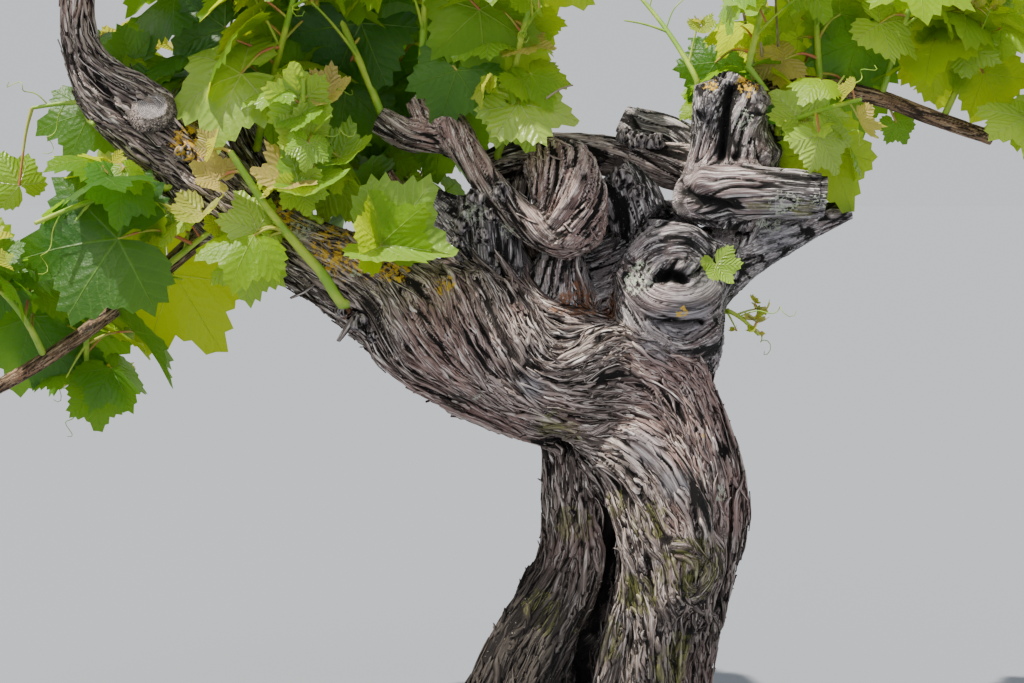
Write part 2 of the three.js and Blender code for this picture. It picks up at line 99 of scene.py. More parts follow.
# Spacing of the samples along a strand, and how softly strands flow into each other
SAMPLE_STEP = 3.0
BLEND = 4.2
FLOW_BLEND = 5.0
# How many places are measured from a strand at a time, and how soft the edge of a saw cut is
CHUNK = 8000
CUT_EDGE = 2.0


# Chance and noise

CORNERS = np.array([(x, y, z) for x in (0, 1) for y in (0, 1) for z in (0, 1)])
NEIGHBOURS = np.array([(x, y, z) for x in (-1, 0, 1) for y in (-1, 0, 1) for z in (-1, 0, 1)])
SLOPES = np.array(
    [(1, 1, 0), (-1, 1, 0), (1, -1, 0), (-1, -1, 0), (1, 0, 1), (-1, 0, 1)]
    + [(1, 0, -1), (-1, 0, -1), (0, 1, 1), (0, -1, 1), (0, 1, -1), (0, -1, -1)],
    float,
)
LOW_BITS = 0xFFFFFFFF


def chance(seed: float, k: float) -> float:
    """A value from 0 to 1 that depends only on the two numbers given, as in the part's source."""
    value = math.sin(seed * 127.1 + k * 311.7) * 43758.5453
    return value - math.floor(value)


def seed_of(name: str) -> int:
    """A seed from a shoot's name, as in the part's source."""
    total = 7
    for letter in name:
        total = (total * 31 + ord(letter)) % 997
    return total


def mixed(cells: Array, seed: int) -> Array:
    """Well-mixed whole numbers, one for each lattice cell."""
    n = (cells[..., 0] * 73856093) ^ (cells[..., 1] * 19349663) ^ (cells[..., 2] * 83492791)
    n = (n ^ (seed * 40503)) & LOW_BITS
    for _ in range(2):
        n = ((n ^ (n >> 16)) * 0x45D9F3B) & LOW_BITS
    return n ^ (n >> 16)


def noise(places: Array, seed: int) -> Array:
    """Smooth gradient noise, about -1 to 1, at places measured in cells."""
    base = np.floor(places)
    part = places - base
    cells = base.astype(np.int64)
    fade = part**3 * (part * (part * 6 - 15) + 10)
    total = np.zeros(len(places))
    for corner in CORNERS:
        slope = SLOPES[mixed(cells + corner, seed) % len(SLOPES)]
        weight = np.where(corner, fade, 1 - fade).prod(axis=1)
        total += weight * ((part - corner) * slope).sum(axis=1)
    return total


def ridged(places: Array, seed: int) -> Array:
    """Noise folded into sharp ridges: 1 on a ridge, down to about 0 between them."""
    return 1 - np.minimum(np.abs(noise(places, seed)) * 1.9, 1)


def plates(places: Array, seed: int) -> tuple[Array, Array]:
    """Separate plates, one in each lattice cell.

    Args:
        places: Points measured in cells.
        seed: The pattern's seed.

    Returns:
        How far each point is from its plate's edge, and its plate's own chance from 0 to 1.
    """
    base = np.floor(places)
    part = places - base
    cells = base.astype(np.int64)
    first, second, tone = (np.full(len(places), start) for start in (9.0, 9.0, 0.0))
    for offset in NEIGHBOURS:
        dice = mixed(cells + offset, seed)
        middle = np.stack([(dice >> s) & 255 for s in (0, 8, 16)], axis=1) / 255.0
        gap = ((offset + middle - part) ** 2).sum(axis=1)
        nearer = gap < first
        second = np.where(nearer, first, np.minimum(second, gap))
        tone = np.where(nearer, ((dice >> 5) & 1023) / 1023.0, tone)
        first = np.where(nearer, gap, first)
    return np.sqrt(second) - np.sqrt(first), tone


def smooth_step(low: float, high: float, value: Array) -> Array:
    """0 below low, 1 above high, and a smooth rise between."""
    t = np.clip((value - low) / (high - low), 0, 1)
    return t * t * (3 - 2 * t)


def unit(vectors: Array) -> Array:
    """The vectors at length 1."""
    return vectors / np.maximum(np.linalg.norm(vectors, axis=-1, keepdims=True), 1e-9)


def on_skin(places: Array, found: dict) -> Array:
    """Places moved on to the skin of the wood that was measured from them."""
    return places - found["gap"][:, None] * found["way"]


# The limbs, as in the part's source: stations are (x, y, z, radius)


class Skin(Enum):
    """The kinds of surface that the vine's wood has."""

    OLD = "old bark"
    GREY = "grey wood"
    CANE = "cane bark"


@dataclass(frozen=True)
class Flutes:
    """The ridges round a limb: how many, how deep over the radius, and how far they wind in degrees."""

    count: int
    depth: float
    turn: float


@dataclass(frozen=True)
class Limb:
    """A limb of one or more strands that have grown together.

    twist is how far its grain winds round it, in degrees over its length, and cut_start and cut_end
    tell whether its first strand ends in a flat saw cut.
    """

    skin: Skin
    flutes: Flutes
    strands: tuple
    twist: float = 40.0
    cut_start: bool = False
    cut_end: bool = False


LIMBS = {
    "trunk": Limb(
        Skin.OLD, Flutes(6, 0.12, 80),
        (
            ((-82, -6, -14, 58), (-72, -8, 40, 48), (-62, -8, 79, 39), (-39, -2, 126, 36),
             (-14, 4, 178, 33), (-8, 8, 240, 33), (2, 12, 312, 36)),
            ((56, 6, -14, 45), (58, 4, 34, 39), (60, 0, 77, 35), (66, -2, 132, 38), (76, -2, 182, 43),
             (77, 0, 232, 47), (60, 0, 286, 50), (34, 4, 326, 52), (-8, 6, 343, 46)),
            ((34, -30, -14, 37), (37, -32, 69, 33), (46, -36, 139, 35), (60, -38, 191, 40),
             (56, -34, 240, 42), (28, -18, 282, 38), (-6, 0, 316, 34)),
            ((-14, 40, -14, 64), (-2, 42, 51, 56), (14, 38, 123, 53), (38, 34, 195, 56),
             (42, 30, 257, 56), (28, 24, 322, 50)),
            ((-46, -12, 112, 26), (-80, -22, 60, 33), (-114, -38, 12, 28), (-134, -48, -16, 21)),
            ((52, -10, 104, 24), (72, -22, 50, 28), (100, -38, 8, 23), (115, -46, -16, 18)),
            ((-4, 44, 116, 34), (-20, 78, 58, 36), (-36, 108, 12, 30), (-44, 122, -16, 24)),
            ((48, 32, 108, 30), (70, 60, 52, 32), (94, 88, 8, 25), (106, 100, -16, 19)),
        ),
        twist=50,
    ),
    "long_arm": Limb(
        Skin.OLD, Flutes(3, 0.06, 60),
        (((30, 2, 334, 50), (-23, -2, 346, 57), (-82, -6, 367, 56), (-133, -8, 387, 51),
          (-171, -8, 406, 42), (-209, -6, 427, 34), (-252, -2, 449, 29), (-295, 4, 473, 29),
          (-330, 6, 503, 31)),),
        twist=90,
    ),
    "long_arm_rise": Limb(
        Skin.OLD, Flutes(3, 0.07, 90),
        (((-312, 6, 488, 28), (-346, 6, 528, 32), (-381, 4, 557, 31), (-410, 2, 580, 25),
          (-430, 0, 606, 17), (-438, 0, 637, 13.5), (-439, 2, 677, 13), (-436, 6, 716, 15)),),
        twist=60,
    ),
    "head_knob": Limb(
        Skin.GREY, Flutes(2, 0.06, 40),
        (((67, -6, 346, 28), (61, -14, 383, 42), (59, -18, 412, 43), (62, -16, 441, 34),
          (70, -10, 462, 20)),),
        twist=130,
    ),
    "right_arm": Limb(
        Skin.GREY, Flutes(3, 0.05, 40),
        (((62, 12, 392, 34), (92, 4, 432, 34), (121, -2, 451, 26), (155, -2, 465, 19),
          (188, 2, 477, 13), (214, 6, 485, 9)),),
        twist=60, cut_end=True,
    ),
    "rotten_heart": Limb(
        Skin.OLD, Flutes(4, 0.08, 30),
        (((-84, 32, 396, 26), (-42, 34, 404, 36), (-4, 34, 414, 42), (39, 32, 438, 43),
          (92, 28, 462, 34)),),
    ),
    "centre_stub": Limb(
        Skin.GREY, Flutes(2, 0.06, 0),
        (((-26, 8, 376, 22), (-29, -4, 406, 24), (-32, -10, 430, 21), (-30, -8, 450, 14)),),
    ),
    "centre_arm": Limb(
        Skin.GREY, Flutes(3, 0.09, 60),
        (((-52, 22, 388, 26), (-72, 16, 412, 29), (-93, 12, 440, 28), (-115, 8, 464, 24),
          (-135, 6, 482, 18), (-153, 6, 495, 11)),),
    ),
    "centre_arm_knot": Limb(
        Skin.GREY, Flutes(3, 0.08, 50), (((-82, 0, 446, 20), (-93, -7, 480, 22), (-101, -8, 501, 14)),),
    ),
    "pruned_spur": Limb(
        Skin.CANE, Flutes(2, 0, 0), (((-145, 1, 470, 5), (-161, -5, 493, 4.6), (-177, -10, 516, 4.2)),),
        cut_end=True,
    ),
    "mid_knot": Limb(
        Skin.GREY, Flutes(3, 0.08, 40), (((44, 18, 462, 20), (31, 8, 490, 25), (14, 12, 514, 16)),),
    ),
    "crook_knob": Limb(
        Skin.OLD, Flutes(2, 0.06, 120),
        (((-44, -6, 531, 18), (-30, -20, 512, 28), (-22, -30, 488, 31), (-25, -33, 464, 19)),),
        twist=120,
    ),
    "crook_limb": Limb(
        Skin.OLD, Flutes(3, 0.08, 100),
        (((-124, -10, 553, 13), (-107, -18, 528, 12), (-86, -28, 501, 12), (-61, -38, 476, 13.5),
          (-38, -44, 461, 13), (-14, -40, 462, 11)),),
        twist=160,
    ),
    "crook_fork_left": Limb(
        Skin.OLD, Flutes(2, 0.07, 30), (((-184, -2, 560, 11), (-158, -8, 547, 12), (-128, -12, 544, 10)),),
        cut_start=True,
    ),
    "crook_fork_right": Limb(
        Skin.OLD, Flutes(2, 0.07, 30),
        (((-152, -5, 579, 10.5), (-138, -9, 562, 12), (-120, -12, 546, 11)),), cut_start=True,
    ),
    "back_cordon": Limb(
        Skin.OLD, Flutes(3, 0.07, 60),
        (((-92, 24, 518, 15), (-57, 28, 531, 16), (-14, 34, 533, 16), (30, 36, 530, 17),
          (88, 30, 518, 20)),),
        twist=120,
    ),
    "back_cordon_foot": Limb(
        Skin.OLD, Flutes(3, 0.07, 30), (((-64, 34, 424, 20), (-72, 32, 470, 17), (-70, 28, 520, 14)),),
    ),
    "stump": Limb(
        Skin.GREY, Flutes(3, 0.08, 50),
        (
            ((106, 2, 474, 35), (110, -3, 506, 36), (110, -8, 536, 31), (112, -10, 561, 27),
             (116, -10, 580, 21), (121, -8, 591, 13)),
            ((104, -10, 534, 20), (96, -16, 558, 16), (88, -18, 590, 9)),
            ((122, 4, 486, 24), (137, 2, 520, 21), (137, 2, 556, 13)),
        ),
        twist=60,
    ),
    "back_spur": Limb(
        Skin.GREY, Flutes(3, 0.1, 40),
        (((96, 40, 536, 14), (66, 62, 552, 15), (42, 68, 556, 16), (25, 72, 563, 10)),), cut_end=True,
    ),
    "log_stub": Limb(
        Skin.GREY, Flutes(2, 0.04, 20),
        (((80, -20, 494, 18), (109, -34, 499, 20), (145, -42, 499, 20), (174, -46, 497, 18.5),
          (186, -47, 496, 12)),),
        twist=0, cut_end=True,
    ),
    "left_back_spur": Limb(
        Skin.OLD, Flutes(2, 0.08, 60),
        (((-276, 22, 466, 17), (-284, 40, 505, 19), (-300, 48, 536, 16), (-314, 52, 562, 11)),),
        cut_end=True,
    ),
    "left_cane": Limb(
        Skin.CANE, Flutes(2, 0, 0),
        (((-322, 16, 476, 10), (-351, 18, 451, 8), (-400, 12, 409, 6.8), (-457, 2, 366, 6.4),
          (-508, -6, 335, 6.2), (-566, -14, 309, 5.8), (-612, -18, 294, 5.4)),),
        twist=10, cut_end=True,
    ),
    "right_cane": Limb(
        Skin.CANE, Flutes(2, 0, 0),
        (((122, 18, 566, 9), (149, 30, 590, 8), (193, 36, 591, 7.4), (246, 40, 580, 7),
          (294, 42, 563, 6.8), (344, 42, 546, 6.4)),),
        twist=10, cut_end=True,
    ),
}


# Guide strands that the grain follows over the front of the vine, by the limb that they are part of.
# Each is (radius, how much of it stands out, ((x, z), ...)), seen from the front.
GUIDES = {
    "long_arm": (
        (11, 0.55, ((-166, 424), (-148, 388), (-124, 356), (-90, 334), (-56, 312), (-24, 298))),
        (12, 0.6, ((-126, 424), (-114, 385), (-91, 348), (-53, 322), (-20, 306))),
        (12, 0.6, ((-100, 425), (-86, 390), (-66, 356), (-42, 334), (-7, 321), (34, 318))),
        (11, 0.5, ((-180, 364), (-150, 344), (-124, 330), (-74, 306), (-40, 292))),
        (10, 0.4, ((-250, 452), (-226, 436), (-204, 420), (-186, 404), (-176, 384), (-170, 366))),
        (10, 0.4, ((-286, 490), (-250, 466), (-214, 452), (-176, 436), (-146, 420))),
    ),
    "trunk": (
        (11, 0.75, ((-74, 419), (-60, 385), (-45, 360), (-28, 352), (-7, 362), (17, 375), (46, 371),
                    (74, 346), (97, 306), (110, 260))),
        (11, 0.7, ((-36, 357), (-16, 368), (9, 375), (38, 364), (63, 342), (84, 302), (99, 252))),
        (11, 0.7, ((-7, 344), (17, 352), (42, 339), (63, 310), (78, 268), (80, 224))),
        (13, 0.9, ((-14, 294), (22, 300), (52, 281), (73, 246), (83, 206))),
        (12, 0.75, ((-8, 287), (18, 275), (42, 243), (57, 201), (62, 159))),
        (11, 0.55, ((-4, 281), (12, 252), (27, 209), (38, 167), (44, 125), (50, 70), (56, 20))),
        (12, 0.6, ((-35, 281), (-32, 243), (-30, 205), (-45, 167), (-72, 131), (-96, 84), (-108, 30))),
        (11, 0.6, ((-20, 277), (-14, 226), (-11, 184), (-22, 146), (-45, 108), (-62, 62), (-70, 10))),
        (9, 0.6, ((50, 208), (66, 210), (86, 202), (92, 184), (80, 168), (60, 168))),
        (10, 0.5, ((84, 160), (88, 124), (84, 80), (88, 30))),
        (10, 0.4, ((20, 150), (12, 104), (4, 60), (0, 10))),
    ),
    "head_knob": (
        (8, 0.5, ((20, 432), (40, 410), (72, 406), (96, 418), (100, 440))),
        (9, 0.5, ((24, 404), (40, 382), (68, 372), (94, 382))),
        (8, 0.5, ((30, 446), (46, 458), (72, 462), (92, 450))),
    ),
}

# Dents in the front of the wood, which also get painted shade by their depth, and lumps where the depth
# is negative: (half width, depth, ((x, z), ...))
DENTS = (
    (4.4, 15, ((50, 430), (60, 431), (70, 428))),
    (2.0, 6, ((70, 428), (82, 434), (93, 447))),
    (2.2, 6, ((49, 430), (41, 422), (38, 408))),
    (2.2, 9, ((44, 391), (62, 395), (86, 392))),
    (2.4, 9, ((40, 203), (52, 206), (62, 200), (78, 203))),
    (6, 9, ((3, 262), (9, 236), (11, 206), (6, 170), (3, 150))),
    (10, 16, ((-34, 296), (-20, 286), (-6, 280))),
    (6, 9, ((-40, 312), (-26, 316), (-8, 316), (12, 310))),
    (5, 8, ((14, 262), (38, 236), (54, 206), (58, 176))),
    (8, 8, ((-12, 120), (-12, 80), (-14, 20))),
    (7, 10, ((-40, 350), (-26, 362), (-20, 376))),
    (5, 7, ((-204, 396), (-190, 388))),
    (4, 6, ((-180, 376), (-160, 352), (-120, 332), (-60, 316))),
    (5, 13, ((107, 584), (104, 556), (101, 530))),
    (3, 6, ((112, 528), (134, 524), (152, 518))),
    (6, 9, ((70, 502), (84, 494), (104, 486))),
    (10, -11, ((140, 532), (144, 536))), (8, -8, ((88, 570), (90, 578))), (9, -8, ((128, 566), (132, 578))),
    (8, -7, ((84, 506), (92, 520))), (8, -5, ((84, 240), (90, 236))),
)


def curve_through(stations: Array, step: float) -> tuple[Array, Array]:
    """A smooth curve through all the stations, radius included.

    Args:
        stations: One row (x, y, z, radius) for each station.
        step: The spacing of the samples.

    Returns:
        The samples as rows, and the share of the stations' count at which each lies, from 0 to 1.
    """
    last = len(stations) - 1
    shares = []
    for i in range(last):
        gap = np.linalg.norm(stations[i + 1, :3] - stations[i, :3])
        count = max(2, math.ceil(gap / step))
        shares.extend((i + k / count) / last for k in range(count))
    place = np.array([*shares, 1.0]) * last
    i = np.minimum(np.floor(place).astype(int), last - 1)
    s = (place - i)[:, None]
    a, b, c, d = (stations[np.clip(i + k, 0, last)] for k in (-1, 0, 1, 2))
    square, cube = (2 * a - 5 * b + 4 * c - d) * s**2, (3 * b - a - 3 * c + d) * s**3
    rows = 0.5 * (2 * b + (c - a) * s + square + cube)
    return rows, place / last


class Strand:
    """A tapering strand, closely sampled, that can be measured from any place near it."""

    def __init__(
        self, stations: tuple, flutes: Flutes, skin: Skin, twist: float, seed: int,
        cuts: tuple[bool, bool] = (False, False), guide: bool = False,
    ) -> None:
        """Samples the strand.

        Args:
            stations: Rows of (x, y, z, radius).
            flutes: The ridges round it.
            skin: Its kind of surface.
            twist: How far its grain winds round it, in degrees over its length.
            seed: Seed of its bark.
            cuts: Whether its start and its end are flat saw cuts.
            guide: Whether it is laid over a limb to lead the grain.
        """
        rows, self.shares = curve_through(np.array(stations, float), SAMPLE_STEP)
        self.points = rows[:, :3]
        self.radii = np.maximum(rows[:, 3], 0.5)
        steps = np.linalg.norm(np.diff(self.points, axis=0), axis=1)
        self.lengths = np.concatenate([[0.0], np.cumsum(steps)])
        self.heading = unit(np.gradient(self.points, axis=0))
        self.across = unit(np.cross(self.heading, BEHIND))
        self.out = np.cross(self.across, self.heading)
        self.slope = np.gradient(self.radii, self.lengths)
        self.flutes, self.skin, self.seed, self.cuts, self.guide = flutes, skin, seed, cuts, guide
        self.twist = math.radians(twist) / self.lengths[-1]

    def near(self, places: Array, reach: float) -> Array:
        """Indices of the places within reach of the strand's box."""
        span = self.radii.max() + reach
        low, high = self.points.min(axis=0) - span, self.points.max(axis=0) + span
        return np.nonzero(((places > low) & (places < high)).all(axis=1))[0]

    def nearest(self, places: Array) -> Array:
        """Index of the sample whose ball each place is nearest to."""
        best = np.empty(len(places), int)
        for start in range(0, len(places), CHUNK):
            block = places[start : start + CHUNK]
            square = (block**2).sum(axis=1)[:, None] - 2 * block @ self.points.T
            square += (self.points**2).sum(axis=1)
            best[start : start + CHUNK] = np.argmin(np.sqrt(np.maximum(square, 0)) - self.radii, axis=1)
        return best

    def measure(self, places: Array) -> dict[str, Array]:
        """Measures places from the strand.

        Args:
            places: Points, in millimetres.

        Returns:
            gap: distance from its surface, negative inside. way: the unit direction away from it.
            grain: coordinates that wind with the grain. flow: the grain's direction. radius: its
            radius there. cap: 1 on a saw cut.
        """
        i = self.nearest(places)
        away = places - self.points[i]
        along = (away * self.heading[i]).sum(axis=1)
        cross = away - along[:, None] * self.heading[i]
        u, v = ((cross * axis[i]).sum(axis=1) for axis in (self.across, self.out))
        side = np.linalg.norm(cross, axis=1)
        angle = np.arctan2(v, u)
        wind = math.radians(self.flutes.turn) * self.shares[i]
        ridge = 1 + self.flutes.depth * np.cos(self.flutes.count * (angle + wind))
        radius = (self.radii[i] + self.slope[i] * np.clip(along, -2, 2)) * ridge
        gap, way = side - radius, unit(cross)
        last = len(self.points) - 1
        cap = np.zeros(len(places))
        for end, sign, cut in ((0, -1, self.cuts[0]), (last, 1, self.cuts[1])):
            beyond = (i == end) & (along * sign > 0)
            if cut:
                plane = along * sign
                level = gap + CUT_EDGE * np.log1p(np.exp(np.clip((plane - gap) / CUT_EDGE, -30, 30)))
                share = 1 / (1 + np.exp(np.clip(gap - plane, -30, 30)))
                face = unit((1 - share)[:, None] * way + share[:, None] * sign * self.heading[i])
                way = np.where(beyond[:, None], face, way)
                cap = np.where(beyond, share, cap)
                gap = np.where(beyond, level, gap)
            else:
                gap = np.where(beyond, np.linalg.norm(away, axis=1) - radius, gap)
                way = np.where(beyond[:, None], unit(away), way)
        turn = self.twist * (self.lengths[i] + along)
        cosine, sine = np.cos(turn), np.sin(turn)
        grain = np.stack(
            [u * cosine - v * sine, u * sine + v * cosine, self.lengths[i] + along], axis=1
        )
        flow = unit(self.heading[i] - (self.twist * side)[:, None] * np.cross(self.heading[i], way))
        return dict(gap=gap, way=way, grain=grain, flow=flow, radius=self.radii[i], cap=cap)


class Wood:
    """All the vine's wood as one smooth field."""

    GUIDE_BIAS = 13.0
    REACH = 34.0
    # Where lines are laid from, in how many rounds, by what share of the gap, how far on in one round,
    # how far back at most, and the gap at which a point still misses the wood
    START = -150.0
    ROUNDS = 45
    SHARE = 0.9
    STRIDE = (-4, 12)
    DEEPEST = 10.0
    MISSED = 1.0
    DENT_STEP = 2.0
    # The twist of a limb's side strands over its first one's, and the twist and first seed of the guides
    SIDE_TWIST = 0.4
    GUIDE_TWIST = 30
    GUIDE_SEED = 500

    def __init__(self) -> None:
        """Samples every limb, and then lays the guides on the limbs' front."""
        self.strands: list[Strand] = []
        self.owner: dict[str, list[int]] = {}
        for number, (name, limb) in enumerate(LIMBS.items()):
            for k, stations in enumerate(limb.strands):
                cuts = (limb.cut_start, limb.cut_end) if k == 0 else (False, False)
                twist = limb.twist * (1 if k == 0 else self.SIDE_TWIST)
                strand = Strand(stations, limb.flutes, limb.skin, twist, number * 10 + k, cuts)
                self.owner.setdefault(name, []).append(len(self.strands))
                self.strands.append(strand)
        lines = [(name, guide) for name, guides in GUIDES.items() for guide in guides]
        laid = self.laid([line for *_, line in (*(guide for _, guide in lines), *DENTS)])
        self.dents = []
        for (width, depth, _), places in zip(DENTS, laid[len(lines) :]):
            rows = np.column_stack([places, np.full(len(places), width)])
            self.dents.append((width, depth, curve_through(rows, self.DENT_STEP)[0][:, :3]))
        for k, ((name, (radius, proud, _)), places) in enumerate(zip(lines, laid)):
            shares = np.linspace(0, 1, len(places))
            radii = radius * (0.45 + 0.55 * np.sin(np.pi * (shares * 0.8 + 0.1)) ** 0.7)
            places[:, 1] += radii * (1 - proud)
            rows, seed = np.column_stack([places, radii]), self.GUIDE_SEED + 20 * k
            guide = Strand(rows, Flutes(2, 0, 0), LIMBS[name].skin, self.GUIDE_TWIST, seed, guide=True)
            self.owner[name].append(len(self.strands))
            self.strands.append(guide)

    def laid(self, lines: list[tuple]) -> list[Array]:
        """Lays lines that are drawn from the front on the wood.

        Args:
            lines: Each line's points (x, z).

        Returns:
            Each line's points on the wood.
        """
        places = np.array([(x, self.START, z) for line in lines for x, z in line])
        for _ in range(self.ROUNDS):
            gaps = np.min([strand.measure(places)["gap"] for strand in self.strands], axis=0)
            places[:, 1] += np.clip(gaps, *self.STRIDE) * self.SHARE
        places[:, 1] = np.minimum(places[:, 1], self.DEEPEST)
        found = self.measure(places)
        loose = found["gap"] > self.MISSED
        places[loose] = on_skin(places, found)[loose]
        ends = np.cumsum([len(line) for line in lines])[:-1]
        return np.split(places, ends)

    def measure(self, places: Array, own: list[int] | None = None) -> dict[str, Array]:
        """Measures places from all the wood.

        Args:
            places: Points, in millimetres.
            own: Indices of the strands whose share of the result is told apart.

        Returns:
            gap and way of the blended wood, flow of the grain, others: the least distance from a
            strand that isn't in own, and near: a list of (strand, indices, measures with its share).
        """
        count = len(places)
        near = []
        least, lead, others = (np.full(count, FAR) for _ in range(3))
        for number, strand in enumerate(self.strands):
            index = strand.near(places, self.REACH)
            if not len(index):
                continue
            found = strand.measure(places[index])
            bias = self.GUIDE_BIAS if strand.guide else 0.0
            found["lead"] = found["gap"] - bias
            near.append((strand, index, found))
            least[index] = np.minimum(least[index], found["gap"])
            lead[index] = np.minimum(lead[index], found["lead"])
            if own is not None and number not in own:
                others[index] = np.minimum(others[index], found["gap"])
        total, total_lead = np.zeros(count), np.zeros(count)
        way, flow = np.zeros((count, 3)), np.zeros((count, 3))
        for strand, index, found in near:
            weight = np.exp(-np.minimum((found["gap"] - least[index]) / BLEND, 40))
            total[index] += weight
            way[index] += weight[:, None] * found["way"]
            found["share"] = np.exp(-np.minimum((found["lead"] - lead[index]) / FLOW_BLEND, 40))
            total_lead[index] += found["share"]
        reference = np.zeros((count, 3))
        order = sorted(near, key=lambda entry: entry[0].guide)
        for strand, index, found in order:
            found["share"] = found["share"] / total_lead[index]
            sign = np.sign((found["flow"] * reference[index]).sum(axis=1) + 1e-6)
            part = (found["share"] * sign)[:, None] * found["flow"]
            reference[index] += part
        flow = unit(reference)
        gap = least - BLEND * np.log(np.maximum(total, 1e-9))
        return dict(gap=gap, way=unit(way), flow=flow, others=others, near=near)


# Bark


@dataclass(frozen=True)
class Form:
    """A kind of form carved in bark: its height, its width across and its length along the grain."""

    height: float
    width: float
    length: float

    def cells(self, places: Array) -> Array:
        """The places measured in cells of this form's size."""
        return places / (self.width, self.width, self.length)


@dataclass(frozen=True)
class Relief:
    """How a skin is carved, at full height on a limb of the full radius."""

    fold: Form
    plate: Form
    crack: Form
    fine: Form
    full_radius: float = 34.0


RELIEFS = {
    Skin.OLD: Relief(Form(5.0, 17, 150), Form(2.2, 7.5, 85), Form(2.6, 10, 120), Form(1.1, 4.2, 60)),
    Skin.GREY: Relief(Form(3.0, 20, 90), Form(0.7, 8, 70), Form(2.2, 11, 80), Form(0.8, 4.4, 50)),
    Skin.CANE: Relief(Form(0.3, 6, 120), Form(0.15, 2.5, 60), Form(0.3, 3, 60), Form(0.25, 1.6, 60), 6.0),
}
# How the grain wanders, broadly and finely: each a form and its first seed
WANDERS = ((Form(7, 26, 70), 3), (Form(1.8, 9, 30), 5))
# Steps from one strand's pattern to the next one's
SEED_STEP = np.array((7.0, 3.0, 31.0))
LEAST_SHARE = 0.02


def carved(wood: dict, count: int) -> dict[str, Array]:
    """How far the bark stands out of the blended wood, and what it looks like there.

    Args:
        wood: What Wood.measure found.
        count: The number of places.

    Returns:
        height, crevice_shade, tone, cap, old and grain for each place, where crevice_shade is painted shade
        in gaps, cracks and valleys, and old is the share of old bark.
    """
    height, crevice_shade, tone, cap, old, weight, best = (np.zeros(count) for _ in range(7))
    grain = np.zeros((count, 3))
    for _, index, found in wood["near"]:
        weight[index] += found["share"] ** 2
    for strand, index, found in wood["near"]:
        share = found["share"] ** 2 / weight[index]
        used = share > LEAST_SHARE
        index, share = index[used], share[used]
        if not len(index):
            continue
        relief = RELIEFS[strand.skin]
        place = found["grain"][used] + strand.seed * SEED_STEP
        bent = place.copy()
        bent[:, :2] += sum(
            np.stack([noise(sway.cells(place), seed + k) for k in (0, 1)], axis=1) * sway.height
            for sway, seed in WANDERS
        )
        size = np.clip(found["radius"][used] / relief.full_radius, 0.3, 1.1)
        fold = ridged(relief.fold.cells(bent), 11)
        edge, own = plates(relief.plate.cells(bent), 12)
        gap = 1 - smooth_step(0.0, 0.2, edge)
        crack = smooth_step(0.72, 1, ridged(relief.crack.cells(bent), 13))
        fine = ridged(relief.fine.cells(bent), 14)
        part = relief.fold.height * (fold - 0.55) + relief.plate.height * (own - 0.5 - 0.8 * gap)
        part += relief.fine.height * (fine - 0.5) - relief.crack.height * crack
        height[index] += share * size * part
        # Painted shade: the colour darkens in the gaps between plates, in cracks and in the valleys of the
        # folds and fine ridges.
        dark = 0.55 * gap + 0.75 * crack + 0.5 * (0.5 - fold) + 0.2 * (0.5 - fine)
        crevice_shade[index] += share * np.clip(dark, 0, 1)
        tone[index] += share * own
        cap[index] += share * found["cap"][used]
        if strand.skin is Skin.OLD:
            old[index] += share
        first = share > best[index]
        best[index[first]] = share[first]
        grain[index[first]] = place[first]
    height *= 1 - cap
    return dict(height=height, crevice_shade=crevice_shade, tone=tone, cap=cap, old=old, grain=grain)


def dented(places: Array, dents: list) -> Array:
    """How deep the dents are at each place, all of them on the front, less the lumps' height."""
    hollow, lump = np.zeros(len(places)), np.zeros(len(places))
    for width, deep, line in dents:
        low, high = line.min(axis=0) - 3 * width, line.max(axis=0) + 3 * width
        index = np.nonzero(((places > low) & (places < high)).all(axis=1))[0]
        if len(index):
            gap = np.linalg.norm(places[index][:, None] - line[None], axis=2).min(axis=1)
            part = deep * np.exp(-((gap / width) ** 2))
            hollow[index] = np.maximum(hollow[index], part)
            lump[index] = np.minimum(lump[index], part)
    return hollow + lump


# Round patches where something grows on the wood, or the wood differs: (x, y, z, radius)
PATCHES = {
    "moss": (
        (74, -70, 194, 46), (30, -70, 170, 30), (20, -50, 240, 26), (60, -60, 110, 40), (-20, -30, 220, 26),
        (100, 40, 60, 60), (-60, 60, 60, 60), (-40, 40, 300, 40), (-36, -64, 296, 40), (4, -50, 130, 36),
        (-50, -50, 150, 34), (40, -80, 230, 26), (128, -70, 482, 30), (88, -60, 492, 22),
        (164, -66, 482, 22),
    ),
    "gold": (
        (-214, -28, 452, 44), (-262, -20, 478, 34), (-170, -50, 440, 26), (-128, -58, 424, 16),
        (-340, -20, 540, 30), (66, -60, 402, 10), (-120, 50, 420, 40), (88, -60, 300, 9),
        (-212, -30, 408, 12), (124, -30, 588, 18), (92, -28, 588, 12), (-190, -40, 440, 22),
    ),
    "pale": (
        (-100, -58, 330, 12), (-88, -56, 308, 11), (32, -52, 428, 24), (-60, 60, 360, 40),
        (60, 80, 230, 40), (140, -20, 478, 26), (-72, -30, 470, 20), (100, -50, 250, 14),
        (118, -40, 560, 18), (150, -62, 488, 22), (180, -62, 492, 14), (-100, -20, 484, 22),
        (-246, -30, 470, 20), (-200, -40, 432, 14), (26, -40, 396, 14),
    ),
    "rot": (
        (-20, -20, 404, 34), (42, -30, 440, 26), (20, -20, 398, 30), (-6, 0, 372, 24), (-210, -34, 400, 14),
        (-36, -40, 398, 12),
    ),
    "bare": (
        (34, -80, 290, 25), (60, -86, 262, 18), (-56, -66, 340, 14), (74, -58, 400, 26),
        (150, -30, 462, 22), (50, -58, 380, 24), (84, -50, 428, 22),
    ),
    "pink": (
        (100, -40, 320, 50), (60, -50, 360, 40), (110, -30, 240, 40), (-130, -60, 400, 40),
        (-80, -50, 60, 60), (80, -30, 60, 60), (70, -60, 400, 46),
    ),
}


